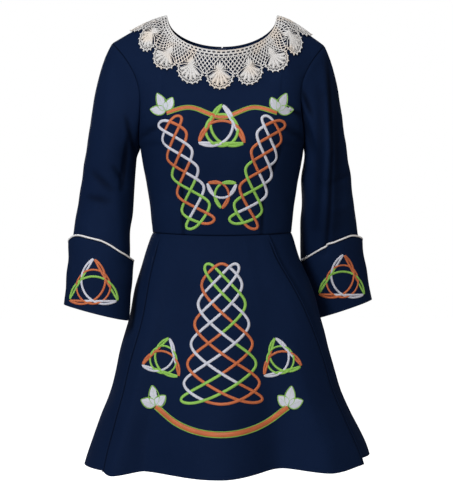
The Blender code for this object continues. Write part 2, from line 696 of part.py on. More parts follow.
def line_over_shoulder(tree, turn, distances):
    """Points on the bodice at set distances from the neckline, all in one upright plane."""
    start, origin = neckline_point(turn), np.array(LACE_RAYS_FROM)
    flat = math.hypot(start[0], start[1])
    lift = math.atan2(start[2] - origin[2], flat)
    angle = math.radians(turn)
    line = [start]
    for lower in np.radians(np.arange(RAY_STEP, RAYS_TO, RAY_STEP)):
        level = math.cos(lift - lower)
        ray = Vector((level * math.sin(angle), -level * math.cos(angle), math.sin(lift - lower)))
        hit = tree.ray_cast(Vector(origin), ray)[0]
        if hit is not None:
            line.append(np.array(hit))
    line = np.array(line)
    reach = np.concatenate([[0], np.cumsum(np.linalg.norm(np.diff(line, axis=0), axis=1))])
    return np.stack([np.interp(distances, reach, line[:, axis]) for axis in range(3)], axis=1)


def collar_surface(tree):
    """A grid of the bodice round the neck, with even repeats along it and distances from the neckline."""
    distances = np.arange(0, LACE_FAR, LACE_STEP)
    end = 180 - math.degrees(math.atan2(LACE_END_GAP, NECK_DEPTH[BACK]))
    turns = np.linspace(-end, end, LACE_TURNS)
    points = np.array([line_over_shoulder(tree, turn, distances) for turn in turns])
    outer = points[:, np.searchsorted(distances, LACE_VALLEY)]
    reach = np.concatenate([[0], np.cumsum(np.linalg.norm(np.diff(outer, axis=0), axis=1))])
    return turns, reach / reach[-1] * LACE_REPEATS, distances, points, grid_normals(points, 1)


def add_collar(tree):
    """The lace: a flat plate of repeats with scalloped ends and cut holes, laid on the bodice."""
    turns, along, distances, points, normals = collar_surface(tree)
    pitch = LACE_PITCH

    def between(values, repeat, distance):
        low = int(np.clip(np.searchsorted(distances, distance) - 1, 0, len(distances) - 2))
        ends = [np.array([np.interp(repeat, along, values[:, d, axis]) for axis in range(3)])
                for d in (low, low + 1)]
        return mix(*ends, (distance - distances[low]) / LACE_STEP)

    def place(flat):
        point = between(points, flat.x / pitch, flat.y)
        normal = unit(between(normals, flat.x / pitch, flat.y))
        lift = LACE_LIFT + LACE_CREST * math.exp(-(point[1] / LACE_CREST_SPREAD) ** 2)
        return point + (lift + LACE_WALL) * normal, point + lift * normal

    outline = [(pitch * i / 6, LACE_START) for i in range(6 * LACE_REPEATS + 1)]
    outline += [(pitch * LACE_REPEATS, d) for d in np.linspace(LACE_START, LACE_VALLEY, 8)[1:-1]]
    for repeat in reversed(range(LACE_REPEATS)):
        outline.append((pitch * (repeat + 1), LACE_VALLEY))
        for theta in np.linspace(0, math.pi, 9):
            along_scallop = pitch * (repeat + 0.5 + SCALLOP_HALF * math.cos(theta))
            outline.append((along_scallop, LACE_VALLEY + LACE_SCALLOP * math.sin(theta)))
    outline.append((0.0, LACE_VALLEY))
    outline += [(0.0, d) for d in np.linspace(LACE_VALLEY, LACE_START, 8)[1:-1]]
    holes, inside = [], []
    for repeat in range(LACE_REPEATS):
        middle = repeat + 0.5
        for shift in LACE_SLOTS:
            low = pitch * (middle + shift - LACE_SLOT_HALF)
            high = pitch * (middle + shift + LACE_SLOT_HALF)
            near, far = LACE_SLOT_FROM, LACE_SLOT_TO
            holes.append([(low, near), (high, near), (high, far), (low, far)])
        for distance, shifts in LACE_DIAMONDS:
            for shift in shifts:
                if middle + shift < LACE_REPEATS:
                    holes.append(diamond(pitch * (middle + shift), distance, pitch * DIAMOND_HALF_WIDE))
        inside += [(pitch * (middle + u), d) for u in LACE_MOTIF_SHIFTS for d in LACE_MOTIF_DISTANCES]
    for turn, reach in LACE_CRESTS:
        crest = pitch * np.interp(turn, turns, along)
        ridge = [Vector((crest, distance)) for distance in np.arange(LACE_STEP, reach, 0.005)]
        inside += [point for point in ridge if not any(in_loop(point, hole) for hole in holes)]
    return cut_plate("lace_collar", outline, holes, inside, place, "white_lace")


def diamond(x, y, half):
    return [(x - half, y), (x, y - DIAMOND_HALF_TALL), (x + half, y), (x, y + DIAMOND_HALF_TALL)]


def centre_back_line(back):
    """The back's middle from just under the neckline to the end of the zip."""
    bodice = back[:, BODICE_COLUMNS // 2][::-1].copy()
    bodice[0] += ZIP_TOP_MARGIN * unit(bodice[1] - bodice[0])
    skirt = [skirt_line(180.0, row_z(180.0, row)) for row in SKIRT_ROWS[1:ZIP_END_ROW + 1]]
    line = np.concatenate([bodice, skirt])
    line[:, 0] = 0.0
    return line


def add_zip(back):
    line = centre_back_line(back)
    down = unit(np.gradient(line, axis=0))
    outward = np.stack([np.zeros(len(line)), -down[:, 2], down[:, 1]], axis=1)
    face = -WALL - ZIP_TAPE_AIR
    section = (
        (-ZIP_TAPE_HALF, face - ZIP_TAPE_THICK), (ZIP_TAPE_HALF, face - ZIP_TAPE_THICK), (ZIP_TAPE_HALF, face),
        (ZIP_RIB_HALF, face), (ZIP_RIB_HALF, -ZIP_RIB_SUNK), (-ZIP_RIB_HALF, -ZIP_RIB_SUNK),
        (-ZIP_RIB_HALF, face), (-ZIP_TAPE_HALF, face),
    )
    rings = [line + np.array([x, 0, 0]) + depth * outward for x, depth in section]
    count, sides = len(line), len(section)
    faces = []
    for i in range(sides):
        for j in range(count - 1):
            a, b = i * count + j, ((i + 1) % sides) * count + j
            faces.append((a, b, b + 1, a + 1))
    for end in (0, count - 1):
        for corners in ((0, 1, 2, 3, 6, 7), (3, 4, 5, 6)):
            faces.append(tuple(i * count + end for i in corners))
    build_mesh("zip_tape", np.concatenate(rings), faces, "zip_tape")
    segment = int(np.argmax(line[:, 2] < SLIDER_Z)) - 1
    share = (SLIDER_Z - line[segment, 2]) / (line[segment + 1, 2] - line[segment, 2])
    place = mix(line[segment], line[segment + 1], share)
    slope = unit(line[segment + 1] - line[segment])
    out = np.array([0, -slope[2], slope[1]])
    add_slider(place + SEAM_GAP * out, slope, out)


def extruded(name, outline, half, material):
    """An outline of (along, out) points, extruded to both sides across the dress."""
    count = len(outline)
    vertices = [(x, along, out) for x in (-half, half) for along, out in outline]
    faces = [tuple(range(count)), tuple(range(count, 2 * count))]
    faces += [(i, (i + 1) % count, count + (i + 1) % count, count + i) for i in range(count)]
    return build_mesh(name, vertices, faces, material)


def add_slider(place, slope, out):
    """The zip's slider with its arched bail, and the pull tab whose crossbar runs through the bail."""
    frame = Matrix((Vector((1, 0, 0)), Vector(slope), Vector(out))).transposed().to_4x4()
    frame.translation = Vector(place)
    long, top, cut = SLIDER_LENGTH / 2, SLIDER_THICK, SLIDER_BEVEL
    block = ((-long, cut), (-long + 2 * cut, 0), (long - cut, 0), (long, cut),
             (long, top - cut), (long - cut, top), (-long + 2 * cut, top), (-long, top - cut))
    slider = extruded("zip_slider", block, SLIDER_HALF, "zip_metal")
    leg, bar, root, cut = BAIL_LEG, BAIL_BAR, top - BAIL_SUNK, BAIL_BEVEL
    roof = top + BAIL_OPEN
    arch = ((-leg - bar, root), (-leg, root), (-leg, roof - cut), (-leg + cut, roof),
            (leg - cut, roof), (leg, roof - cut), (leg, root), (leg + bar, root),
            (leg + bar, roof), (leg, roof + bar), (-leg, roof + bar), (-leg - bar, roof))
    bail = extruded("bail_form", arch, BAIL_HALF, "zip_metal")
    bail.hide_render = True
    bail.display_type = "WIRE"
    join = slider.modifiers.new("bail", "BOOLEAN")
    join.operation = "UNION"
    join.solver = "EXACT"
    join.object = bail
    hinge = frame @ Vector((0, 0, top + BAIL_OPEN / 2))
    slider.matrix_world = frame
    bail.matrix_world = frame
    half, bar = PULL_HALF, PULL_BAR_HALF
    rounding = ((1.0, 0.77), (0.8, 0.94), (0.4, 1.0), (-0.4, 1.0), (-0.8, 0.94), (-1.0, 0.77))
    outline = [(-half, -bar), (half, -bar)] + [(u * half, v * PULL_LENGTH) for u, v in rounding]
    side, end = PULL_EYE_HALF, PULL_EYE_END
    eye = [(-side, bar), (side, bar), (side, end), (-side, end)]

    def place_tab(flat):
        return (flat.x, flat.y, PULL_THICK / 2), (flat.x, flat.y, -PULL_THICK / 2)

    pull = cut_plate("zip_pull", outline, [eye], [], place_tab, "zip_metal")
    frame.translation = hinge
    pull.matrix_world = frame


def make_materials():
    made = {}
    for name, (colour, roughness, metallic) in COLOURS.items():
        material = bpy.data.materials.new(name)
        material.use_nodes = True
        shader = material.node_tree.nodes["Principled BSDF"]
        shader.inputs["Base Color"].default_value = (*colour, 1.0)
        shader.inputs["Roughness"].default_value = roughness
        shader.inputs["Metallic"].default_value = metallic
        made[name] = material
    return made


for old in list(bpy.data.objects):
    bpy.data.objects.remove(old, do_unlink=True)
MATERIALS = make_materials()

FRONT_GRID, BACK_GRID = bodice_grid(FRONT), bodice_grid(BACK)
add_collar(surface_tree([FRONT_GRID, BACK_GRID]))
add_zip(BACK_GRID)
FRONT_NORMALS, BACK_NORMALS = bodice_normals(FRONT_GRID, BACK_GRID)
add_sleeves(FRONT_GRID, BACK_GRID, FRONT_NORMALS, BACK_NORMALS)
add_bodice_panels(FRONT_GRID, BACK_GRID, FRONT_NORMALS, BACK_NORMALS)
add_skirt()
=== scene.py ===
"""Irish dance dress: cloth, crocheted collar, piping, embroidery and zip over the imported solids.

Units are metres. +Z is up and the front faces -Y. Each cloth piece is a thin wall on the form of the solid it
stands for, with the creases, hems and darts of the sewn dress.
"""

import functools
import math

import bmesh
import bpy
import numpy as np
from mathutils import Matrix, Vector, noise
from mathutils.bvhtree import BVHTree


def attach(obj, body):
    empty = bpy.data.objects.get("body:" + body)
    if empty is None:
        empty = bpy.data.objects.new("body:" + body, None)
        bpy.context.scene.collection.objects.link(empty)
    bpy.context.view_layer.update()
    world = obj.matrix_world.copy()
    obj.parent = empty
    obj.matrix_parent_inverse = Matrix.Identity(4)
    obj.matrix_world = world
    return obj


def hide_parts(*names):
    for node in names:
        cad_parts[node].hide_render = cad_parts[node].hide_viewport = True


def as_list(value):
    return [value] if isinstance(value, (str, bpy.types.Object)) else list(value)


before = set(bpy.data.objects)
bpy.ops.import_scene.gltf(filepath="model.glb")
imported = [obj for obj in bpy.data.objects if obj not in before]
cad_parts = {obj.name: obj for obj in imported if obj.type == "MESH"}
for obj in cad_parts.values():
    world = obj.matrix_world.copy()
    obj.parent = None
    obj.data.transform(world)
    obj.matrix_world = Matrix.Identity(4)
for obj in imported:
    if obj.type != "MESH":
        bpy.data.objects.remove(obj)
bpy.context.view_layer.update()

bl_info = {
    "name": "Dance dress",
    "version": (1, 0, 0),
    "blender": (4, 5, 0),
    "location": "3D View > Sidebar > Dress",
    "description": "Builds the cloth, lace, embroidery and zip of a dance dress, and its stage",
    "category": "Object",
}

MM = 0.001
SOLID_WALL = 1.6 * MM
SEAM_GAP = 0.3 * MM
SEAM_WIDE, SEAM_DEEP = 1.8 * MM, 0.9 * MM
SEAM_MOST = 0.45                # of the step to the next row of points
# Painted shade along seams, hems, creases and pleat edges: its strength and the colour it darkens the cloth
# to
PAINTED_SHADE_STRENGTH, PAINTED_SHADE_COLOUR = 0.85, (0.0004, 0.0010, 0.0030)
RIM_WEAVE, CORD_AROUND = 3 * MM, 4 * MM         # width of the weave laid on a wall's rim and round a cord
TOP, BOTTOM, FIRST, LAST = (0, 1), (0, 0), (1, 0), (1, 1)    # edges of a grid of points: axis, and which end
FRONT, BACK = -1.0, 1.0
SIDES = {"right": -1.0, "left": 1.0}

# Bodice form
WAIST_Z = -0.410
WAIST_DIP = 0.007
ARMPIT_Z = -0.250
ARMPIT_X = 0.155
NECK_HALF = 0.104
NECK_DROP = {FRONT: 0.077, BACK: 0.046}
NECK_DEPTH = {FRONT: 0.085, BACK: 0.070}
SHOULDER_TIP_Y = 0.004
SHOULDER_TIP = {-1.0: (0.209, SHOULDER_TIP_Y, -0.050), 1.0: (0.195, SHOULDER_TIP_Y, -0.055)}
SHOULDER_RISE = 0.004
ARMHOLE_DIP = 0.030
ARMHOLE_DEPTH = {FRONT: 0.085, BACK: 0.090}
ARMHOLE_DIP_POWER, ARMHOLE_TURN, ARMHOLE_POWER = 1.25, 0.75, 0.75
SHOULDER_ROUND = 1.2
OVER_SHOULDER = (0.2, 0.6)      # from where to where across the bodice its top turns over the shoulder
SHOULDER_BLADES = 0.008
NECK_SPREAD, SPREAD_PLACE, SPREAD_WIDE = 0.016, 0.47, 0.2
CHEST_DEPTH = {FRONT: 0.117, BACK: 0.091}
CHEST_POWER = {FRONT: 1.3, BACK: 1.6}
BUST_OUT, BUST_X, BUST_Z, BUST_WIDE, BUST_TALL = 0.012, 0.082, -0.245, 0.038, 0.045
BODICE_COLUMNS = 132
ROWS_BELOW = 42
ARMHOLE_STEPS = (0.0, 0.13, 0.26, 0.40, 0.54, 0.68, 0.79, 0.88, 0.95, 1.0)
STEP_SPLIT = 6                  # finer steps between those

# Sleeves and cuffs
CAP_ROWS = 14
SLEEVE_TOP_Z, SLEEVE_NEXT_Z = -0.272, -0.316
SLEEVE_ROWS = 90
CUFF_ROWS = 46
CUFF_STAND_OFF, CUFF_OPENING = 0.006, 1.5

# Skirt
SKIRT_END_Z = -0.850
SKIRT_STEPS = (0.0, 0.07, 0.18, 0.32, 0.46, 0.60, 0.74, 0.87, 1.0)
SKIRT_SPLIT = 13
ZIP_END = 0.32                  # share of the skirt's length down to the zip's end
FLUTE_POWER = 1.6
PLEAT_RETURN = (0.012, 0.035)
PLEAT_AIR = (0.0006, 0.0015)
PLEAT_STEPS = 10
FOLD_PROUD, FOLD_SPREAD = 0.0050, 0.034        # a pressed fold stands out from its panel
FOLD_HOLLOW, HOLLOW_SPREAD = 0.0030, 0.016     # and the cloth beside it sinks
EDGE_STITCH, STITCH_WIDE, STITCH_DEEP = 0.0032, 0.0014, 0.0015
STITCH_STARTS = 0.08            # share of the skirt's length in which the stitched groove sets in
STITCH_PLACES = np.array([0.0062, 0.0048, 0.0038, 0.0030, 0.0022, 0.0012, 0.0])
OUTER_STEPS, SIDE_STEPS, BACK_STEPS = 64, 48, 52
TURN_STEPS = 6

# Lace collar
LACE_REPEATS = 15
LACE_LIFT = 1.2 * MM
LACE_CREST, LACE_CREST_SPREAD = 1.6 * MM, 0.055
LACE_VALLEY, LACE_SCALLOP, SCALLOP_HALF = 0.047, 0.025, 0.42
LACE_END_GAP = 0.0065
LACE_STEP, LACE_FAR, LACE_TURNS = 0.004, 0.085, 361
LACE_RAYS_FROM = (0.0, 0.0, -0.14)
RAY_STEP, RAYS_TO = 1.5, 66.0
LACE_PITCH = 0.056
LACE_BARS = 6                   # filled bars in a repeat of each straight row
LACE_BANDS = ((0.0008, 0.85), (0.0020, 0.80), (0.0063, 0.95), (0.0076, 0.85), (0.0122, 0.95))
FIRST_BARS, SECOND_BARS = (0.0020, 0.0063, 1.75), (0.0076, 0.0122, 1.45)
NET_FROM, NET_LINES, NET_SLOPE, NET_HALF = 0.0122, 7, 0.80, 0.92
NET_STEP, NET_SHORT, END_THREAD_IN, END_THREAD_TOP = 0.0012, 0.0005, 0.0008, 0.001
LACE_MARGIN, LACE_THREAD_LIFT, LACE_SOLID_LIFT = 0.0006, 0.55 * MM, 0.3 * MM
LEAF_OVAL, FAN_OVAL, FAN_TOP = (0.0285, 0.0088, 0.0098), (0.0500, 0.0225, 0.0150), 0.036  # centre, half sizes
FAN_FOOT, FAN_BEND, BORDER_DEEP, PICOT_OUT = 0.0365, (0.60, 0.0398), 0.0052, 0.0034
PETAL_SHORT, PETAL_BULGE = 0.0006, 0.0042
LEAF_RING = (0.0082, 0.0280, 0.0098)            # half width, centre, half depth
SOLID_STEP, OPEN_STEP = 0.0013, 0.0019          # between the points of filled stitches and of threads
# A leaf's blades on one side, and its stem: path, half width and half height in millimetres
LEAF_BLADES = (
    (((0, 0.0375), (0.0050, 0.0335), (0.0072, 0.0285)), 2.1, 0.75),
    (((0, 0.0345), (0.0036, 0.0290), (0.0046, 0.0225)), 1.9, 0.85),
)
LEAF_STEM = (((0, 0.0370), (0, 0.0280), (0, 0.0185)), 2.3, 0.95)

# Embroidery
STITCH_STEP = 0.0016
RISE_OVER, DIP_UNDER, CREST_SPREAD = 0.0008, 0.0005, 0.85      # the spread is a share of the other's width
NEIGHBOURS, CROSSING_REACH = 4, 0.006           # steps of one strand too near to cross; how far to look
END_SHARPNESS, SIDE_SHARPNESS = 0.965, 0.86
EDGE_INSET, EDGE_ROOM, EDGE_CORD = 0.0007, 0.0010, (0.0009, 0.0011)
LEAF_INSET, LEAF_LEAST, LEAF_HIGH, LEAF_STEP = 0.0006, 0.0004, 0.0011, 0.0018
LEAF_CORD, MIDRIB = (0.0010, 0.0013), (0.0004, 0.0014)
PLAIT_COLOURS = ("orange", "lime", "pale", "orange", "pale", "lime", "orange", "pale")
KNOT_COLOURS = ("pale", "orange", "lime")

# Zip
ZIP_SLIT = 1.2 * MM
ZIP_TOP_MARGIN = 0.003
TOOTH_PITCH, TOOTH_REACH, TOOTH_RADIUS, TOOTH_SUNK = 1.7 * MM, 1.4 * MM, 0.38 * MM, 0.28 * MM

# Stage: softboxes with place, size, share of the key light's power, and colour
FLOOR_Z, FLOOR_HALF, SKY_LIGHT, LIT = -1.35, 14.0, 0.18, (0, 0, -0.4)
SOFTBOXES = (
    ("key", (-1.5, -2.55, 0.75), 0.8, 1.0, (1.0, 0.99, 0.98)),
    ("fill", (1.5, -2.4, 0.1), 1.6, 0.25, (1.0, 0.84, 0.66)),
    ("top", (0.0, -0.6, 1.9), 1.6, 0.22, (1.0, 1.0, 1.0)),
    ("behind", (-0.9, 2.9, 0.7), 1.4, 0.85, (1.0, 1.0, 1.0)),
)

# Creases: where along them they are full, how they fade, and how far to the front the cloth has to face
CREASE_SPAN, CREASE_FADE, CREASE_FACING = (0.12, 0.88), 0.6, (0.05, 0.35)

# Slight unevenness of the worn cloth: height and size
FRONT_RIPPLE, BACK_RIPPLE = (0.0010, 0.045), (0.0012, 0.045)
SLEEVE_RIPPLE, SKIRT_RIPPLE = (0.0020, 0.040), (0.0022, 0.060)


def table(columns, *rows):
    """A table of sections: one array for each named column."""
    return dict(zip(columns.split(), np.array(rows, float).T))


TORSO = table(
    "z half_width front back",
    (-0.410, 0.1315, 0.088, 0.068), (-0.365, 0.1360, 0.096, 0.072), (-0.318, 0.1430, 0.106, 0.080),
    (-0.282, 0.1500, 0.114, 0.087), (-0.250, 0.1550, 0.117, 0.091),
)
SLEEVE_COLUMNS = "z outer inner y depth slant"
SLEEVE = {
    "right": table(
        SLEEVE_COLUMNS,
        (-0.272, 0.2600, 0.163, 0.000, 0.058, 0.000), (-0.360, 0.2727, 0.168, -0.005, 0.054, 0.000),
        (-0.410, 0.2790, 0.173, -0.020, 0.050, 0.000), (-0.448, 0.2820, 0.172, -0.030, 0.050, 0.003),
        (-0.559, 0.2920, 0.174, -0.050, 0.050, 0.015),
    ),
    "left": table(
        SLEEVE_COLUMNS,
        (-0.272, 0.2394, 0.1555, 0.000, 0.058, 0.000), (-0.316, 0.2470, 0.1510, 0.008, 0.056, 0.000),
        (-0.360, 0.2546, 0.1530, 0.020, 0.054, 0.000), (-0.410, 0.2620, 0.151, 0.045, 0.050, 0.000),
        (-0.448, 0.2690, 0.152, 0.060, 0.050, 0.004), (-0.560, 0.2926, 0.1726, 0.085, 0.050, 0.020),
    ),
}

# How the cap leaves the armhole: share of its length sideways and down, at the shoulder and at the armpit
CAP_START = {
    "right": table("turn out down", (0, 0.45, 0.75), (180, 0.25, 1.0)),
    "left": table("turn out down", (0, 0.40, 0.80), (180, 0.25, 1.0)),
}

# Long soft folds down the sleeves: angle round the arm (0 outside, 90 in front), top, bottom, height, spread
SLEEVE_FOLDS = {
    "right": ((84, -0.06, -0.25, 0.003, 18), (108, -0.33, -0.47, 0.003, 18), (250, -0.12, -0.40, 0.003, 20)),
    "left": ((90, -0.09, -0.44, 0.005, 20), (52, -0.12, -0.44, -0.005, 22), (262, -0.12, -0.42, 0.003, 20)),
}
FOLD_END = 0.05                 # length over which such a fold fades in and out

CUFF_HEIGHT = table(
    "turn height",
    (0, 0.113), (60, 0.131), (90, 0.131), (135, 0.118), (180, 0.109), (270, 0.120), (360, 0.113),
)

SKIRT = table(
    "z right left front back",
    (-0.410, 0.1315, 0.1315, 0.088, 0.068), (-0.424, 0.1380, 0.1370, 0.093, 0.077),
    (-0.454, 0.1480, 0.1460, 0.101, 0.095), (-0.500, 0.1615, 0.1660, 0.110, 0.115),
    (-0.576, 0.1785, 0.1900, 0.127, 0.134), (-0.637, 0.1940, 0.2050, 0.140, 0.146),
    (-0.698, 0.2090, 0.2220, 0.154, 0.158), (-0.758, 0.2300, 0.2490, 0.168, 0.171),
    (-0.819, 0.2530, 0.2770, 0.181, 0.184), (-0.850, 0.2620, 0.2870, 0.186, 0.190),
)

# Angles round the skirt run from 0 at the centre front to 90 at the wearer's left side and 180 behind
FLUTES = table(
    "turn out",
    (-207, -0.034), (-180, 0.010), (-150, -0.030), (-132, 0.005), (-90, 0.0), (-55, 0.0), (-48, 0.005),
    (-37, -0.030), (0, 0.012), (25.5, -0.038), (44, 0.006), (65.5, 0.0), (90, 0.0), (132, 0.006),
    (153, -0.034), (180, 0.010), (210, -0.030),
)
HEM = table(
    "turn z",
    (-207, -0.836), (-180, -0.846), (-150, -0.838), (-55, -0.845), (-48, -0.850), (-37, -0.842), (0, -0.8455),
    (25.5, -0.835), (44, -0.8436), (65.5, -0.837), (153, -0.836), (180, -0.846), (210, -0.838),
)
SIDE_HEM_Z = {"right": -0.8465, "left": -0.829}
FOLDS = table(
    "z front_right front_left back_right back_left",
    (-0.410, -59, 40, -125, 126), (-0.463, -58, 45, -125, 126), (-0.560, -56, 57, -125, 126),
    (-0.675, -59, 65, -125, 126), (-0.850, -55, 65.5, -125, 126),
)
SKIRT_PANELS = ("skirt_front", "skirt_side_left", "skirt_side_right", "skirt_back_left", "skirt_back_right")

# The width under which a crease is narrow, and painted shade in narrow creases, in wider ones and under a
# pleat
NARROW_CREASE, PAINTED_SHADE_NARROW, PAINTED_SHADE_WIDE, PAINTED_SHADE_UNDER_PLEAT = 0.0045, 0.90, 0.55, 0.30
# Creases and darts seen from the front, in millimetres: x and z of both ends, height over the cloth around
# them, and half width
CREASES = {
    "bodice_front": (
        (-71, -414, -74, -285, -1.4, 3.6), (73, -414, 75, -345, -1.4, 3.6), (75, -345, 108, -256, -1.4, 3.8),
        (-150, -232, -112, -214, -3.4, 5.0), (-146, -214, -122, -196, 2.0, 7.0),
        (150, -236, 112, -218, -3.4, 5.0), (147, -196, 122, -182, -2.4, 4.4),
        (148, -216, 128, -196, 1.8, 7.0),
        (-30, -402, -12, -372, 1.0, 9.0), (36, -402, 20, -366, 1.0, 9.0), (-128, -398, -108, -350, 1.2, 9.0),
        (126, -398, 110, -344, 1.2, 9.0),
    ),
    "sleeve_right": (
        (-212, -75, -214, -235, 2.2, 11.0), (-196, -330, -186, -452, 2.4, 10.0),
        (-176, -240, -187, -330, -3.0, 4.4), (-238, -300, -206, -330, -2.2, 7.0),
        (-246, -345, -212, -352, -2.0, 7.0), (-200, -290, -180, -318, -2.6, 5.0),
        (-178, -198, -166, -252, -3.0, 4.4), (-262, -400, -232, -418, 1.6, 9.0),
        (-180, -215, -168, -275, 2.4, 8.0),
    ),
    "sleeve_left": (
        (194, -105, 197, -255, 4.2, 8.0), (197, -255, 190, -312, 4.0, 8.5), (190, -312, 184, -440, 3.6, 8.5),
        (200, -80, 205, -270, -3.4, 4.4), (205, -250, 199, -450, -3.4, 4.4),
        (184, -150, 178, -400, -3.4, 9.0), (214, -120, 217, -430, -3.0, 11.0),
        (146, -175, 172, -262, -4.6, 5.0), (150, -150, 166, -190, -3.0, 4.4),
        (140, -200, 166, -292, 2.6, 6.5), (204, -322, 236, -300, -2.0, 6.0), (206, -372, 240, -360, 1.6, 8.0),
    ),
    "skirt_front": (
        (-30, -425, -44, -520, 1.6, 12.0), (40, -425, 70, -540, 1.4, 12.0),
        (-100, -480, -128, -620, 1.4, 13.0),
    ),
}

# Flat cut of each cloth piece: width, length and area
FLAT_CUTS = {
    "bodice_front": (0.46, 0.39, 0.146),
    **dict.fromkeys(("bodice_back_left", "bodice_back_right"), (0.24, 0.39, 0.069)),
    **dict.fromkeys(("sleeve_left", "sleeve_right"), (0.32, 0.54, 0.148)),
    "cuff_left": (0.38, 0.135, 0.046),
    "cuff_right": (0.38, 0.135, 0.044),
    "skirt_front": (0.60, 0.46, 0.194),
    "skirt_side_left": (0.34, 0.45, 0.096),
    "skirt_side_right": (0.34, 0.45, 0.098),
    "skirt_back_left": (0.28, 0.46, 0.094),
    "skirt_back_right": (0.28, 0.46, 0.092),
    "lace_collar": (0.84, 0.072, 0.046),
}


def hermite(u, first, last, leaving, arriving):
    """A smooth way from a first value to a last one with set slopes at both ends, for u from 0 to 1."""
    start = (1 + 2 * u) * (1 - u) ** 2 * first + u * (1 - u) ** 2 * leaving
    return start + (u * u * (3 - 2 * u) * last - u * u * (1 - u) * arriving)


def through_knots(knots, values, slope, at):
    """Values between knots, for set slopes at the knots."""
    i = np.clip(np.searchsorted(knots, at) - 1, 0, len(knots) - 2)
    step, past = knots[i + 1] - knots[i], at - knots[i]
    if values.ndim > 1:
        step, past = step[:, None], past[:, None]
    return hermite(past / step, values[i], values[i + 1], step * slope[i], step * slope[i + 1])


def smooth_curve(knots, values, at):
    """A smooth curve through the values that doesn't overshoot them: a monotone cubic."""
    order = np.argsort(knots)
    knots, values = np.asarray(knots)[order], np.asarray(values)[order]
    step = np.diff(knots)
    rise = np.diff(values) / step
    slope = np.concatenate([rise[:1], np.zeros(len(rise) - 1), rise[-1:]])
    for i in range(1, len(rise)):
        if rise[i - 1] * rise[i] > 0:
            slope[i] = 2.0 / (1.0 / rise[i - 1] + 1.0 / rise[i])
    return through_knots(knots, values, slope, np.clip(at, knots[0], knots[-1]))


def read(sections, column, at):
    """A column of a table, at values of the table's first column."""
    first = next(iter(sections))
    return smooth_curve(sections[first], sections[column], at)


def mix(a, b, share):
    return a + (b - a) * share


def smoothstep(low, high, value):
    u = np.clip((value - low) / (high - low), 0.0, 1.0)
    return u * u * (3 - 2 * u)


def unit(vectors):
    return vectors / np.maximum(np.linalg.norm(vectors, axis=-1, keepdims=True), 1e-12)


def split_steps(steps, parts):
    """Finer steps along the same smooth progress."""
    places = np.arange(len(steps), dtype=float)
    return smooth_curve(places, np.array(steps), np.linspace(0, len(steps) - 1, (len(steps) - 1) * parts + 1))


def lengths_along(path):
    """The length of a path up to each of its points."""
    return np.concatenate([[0], np.cumsum(np.linalg.norm(np.diff(path, axis=0), axis=1))])


def interpolate(at, places, rows):
    """Rows of numbers at values between the places they are given for."""
    return np.stack([np.interp(at, places, column) for column in np.transpose(rows)], axis=-1)


def bodice_row(across, up, face):
    """One row of the bodice: across runs from -1 at the wearer's right to 1, and up from 0 at the waist
    through 1 at the armpits to 2 at the neckline and shoulder seams."""
    points = bodice_lower(across, up, face) if up <= 1.0 else bodice_upper(across, up - 1.0, face)
    if face == FRONT:
        sideways = (np.abs(points[:, 0]) - BUST_X) / BUST_WIDE
        upwards = (points[:, 2] - BUST_Z) / BUST_TALL
        points[:, 1] -= BUST_OUT * np.exp(-0.5 * (sideways ** 2 + upwards ** 2))
    return points


def bodice_lower(across, up, face):
    z = mix(WAIST_Z, ARMPIT_Z, up)
    turn = across * math.pi / 2
    depth = read(TORSO, "front" if face == FRONT else "back", z)
    x = read(TORSO, "half_width", z) * np.sin(turn)
    dip = WAIST_DIP * (1 - up) if face == FRONT else 0.0
    return np.stack([x, face * depth * np.cos(turn), z - dip * np.cos(turn) ** 2], axis=1)


def bodice_top_edge(across, face):
    """The neckline, an ellipse that drops at its middle, and on each side the shoulder seam."""
    side = np.sign(across)
    turn = np.clip(across / 0.5, -1, 1) * math.pi / 2
    along = np.clip((np.abs(across) - 0.5) / 0.5, 0, 1)
    tip = np.array([SHOULDER_TIP[1.0 if value >= 0 else -1.0] for value in side])
    x = NECK_HALF * np.sin(turn) + side * (tip[:, 0] - NECK_HALF) * along
    y = face * NECK_DEPTH[face] * np.cos(turn) + tip[:, 1] * along
    rise = SHOULDER_RISE * np.sin(math.pi * along)
    z = -NECK_DROP[face] * np.cos(turn) + tip[:, 2] * along + rise
    return x, y, z


def bodice_upper(across, up, face):
    over_shoulder = smoothstep(*OVER_SHOULDER, np.abs(across))
    share = mix(up, math.sin(up * math.pi / 2) ** SHOULDER_ROUND, over_shoulder)
    top_x, top_y, top_z = bodice_top_edge(across, face)
    dip = ARMHOLE_DIP * np.sin(math.pi * share ** ARMHOLE_DIP_POWER)
    beside_neck = np.exp(-(((np.abs(across) - SPREAD_PLACE) / SPREAD_WIDE) ** 2))
    spread = NECK_SPREAD * math.sin(math.pi * min(up, 1.0) ** 2) * beside_neck
    x = mix(ARMPIT_X * np.sin(across * math.pi / 2), top_x, share)
    x += np.sign(across) * spread - dip * across ** 3
    z = mix(ARMPIT_Z, top_z, share)
    middle = face * mix(CHEST_DEPTH[face], NECK_DEPTH[face], up ** CHEST_POWER[face])
    if face == BACK:
        middle += SHOULDER_BLADES * math.sin(math.pi * up)
    turned = math.sin(ARMHOLE_TURN * math.pi * up ** ARMHOLE_POWER)
    edge = SHOULDER_TIP_Y * up + face * ARMHOLE_DEPTH[face] * turned
    wrap = mix(math.pi / 2, math.pi / 4, up)
    roundness = (np.cos(across * wrap) - math.cos(wrap)) / (1 - math.cos(wrap))
    turn_in = mix(up ** 2, 1 - math.cos(up * math.pi / 2), over_shoulder)
    y = mix(edge + (middle - edge) * roundness, top_y, turn_in)
    return np.stack([x, y, z], axis=1)


def bodice_grid(face):
    across = np.linspace(-1, 1, BODICE_COLUMNS + 1)
    below = np.linspace(0, 1, ROWS_BELOW + 1)
    above = 1 + split_steps(ARMHOLE_STEPS, STEP_SPLIT)[1:]
    return np.array([bodice_row(across, up, face) for up in np.concatenate([below, above])])


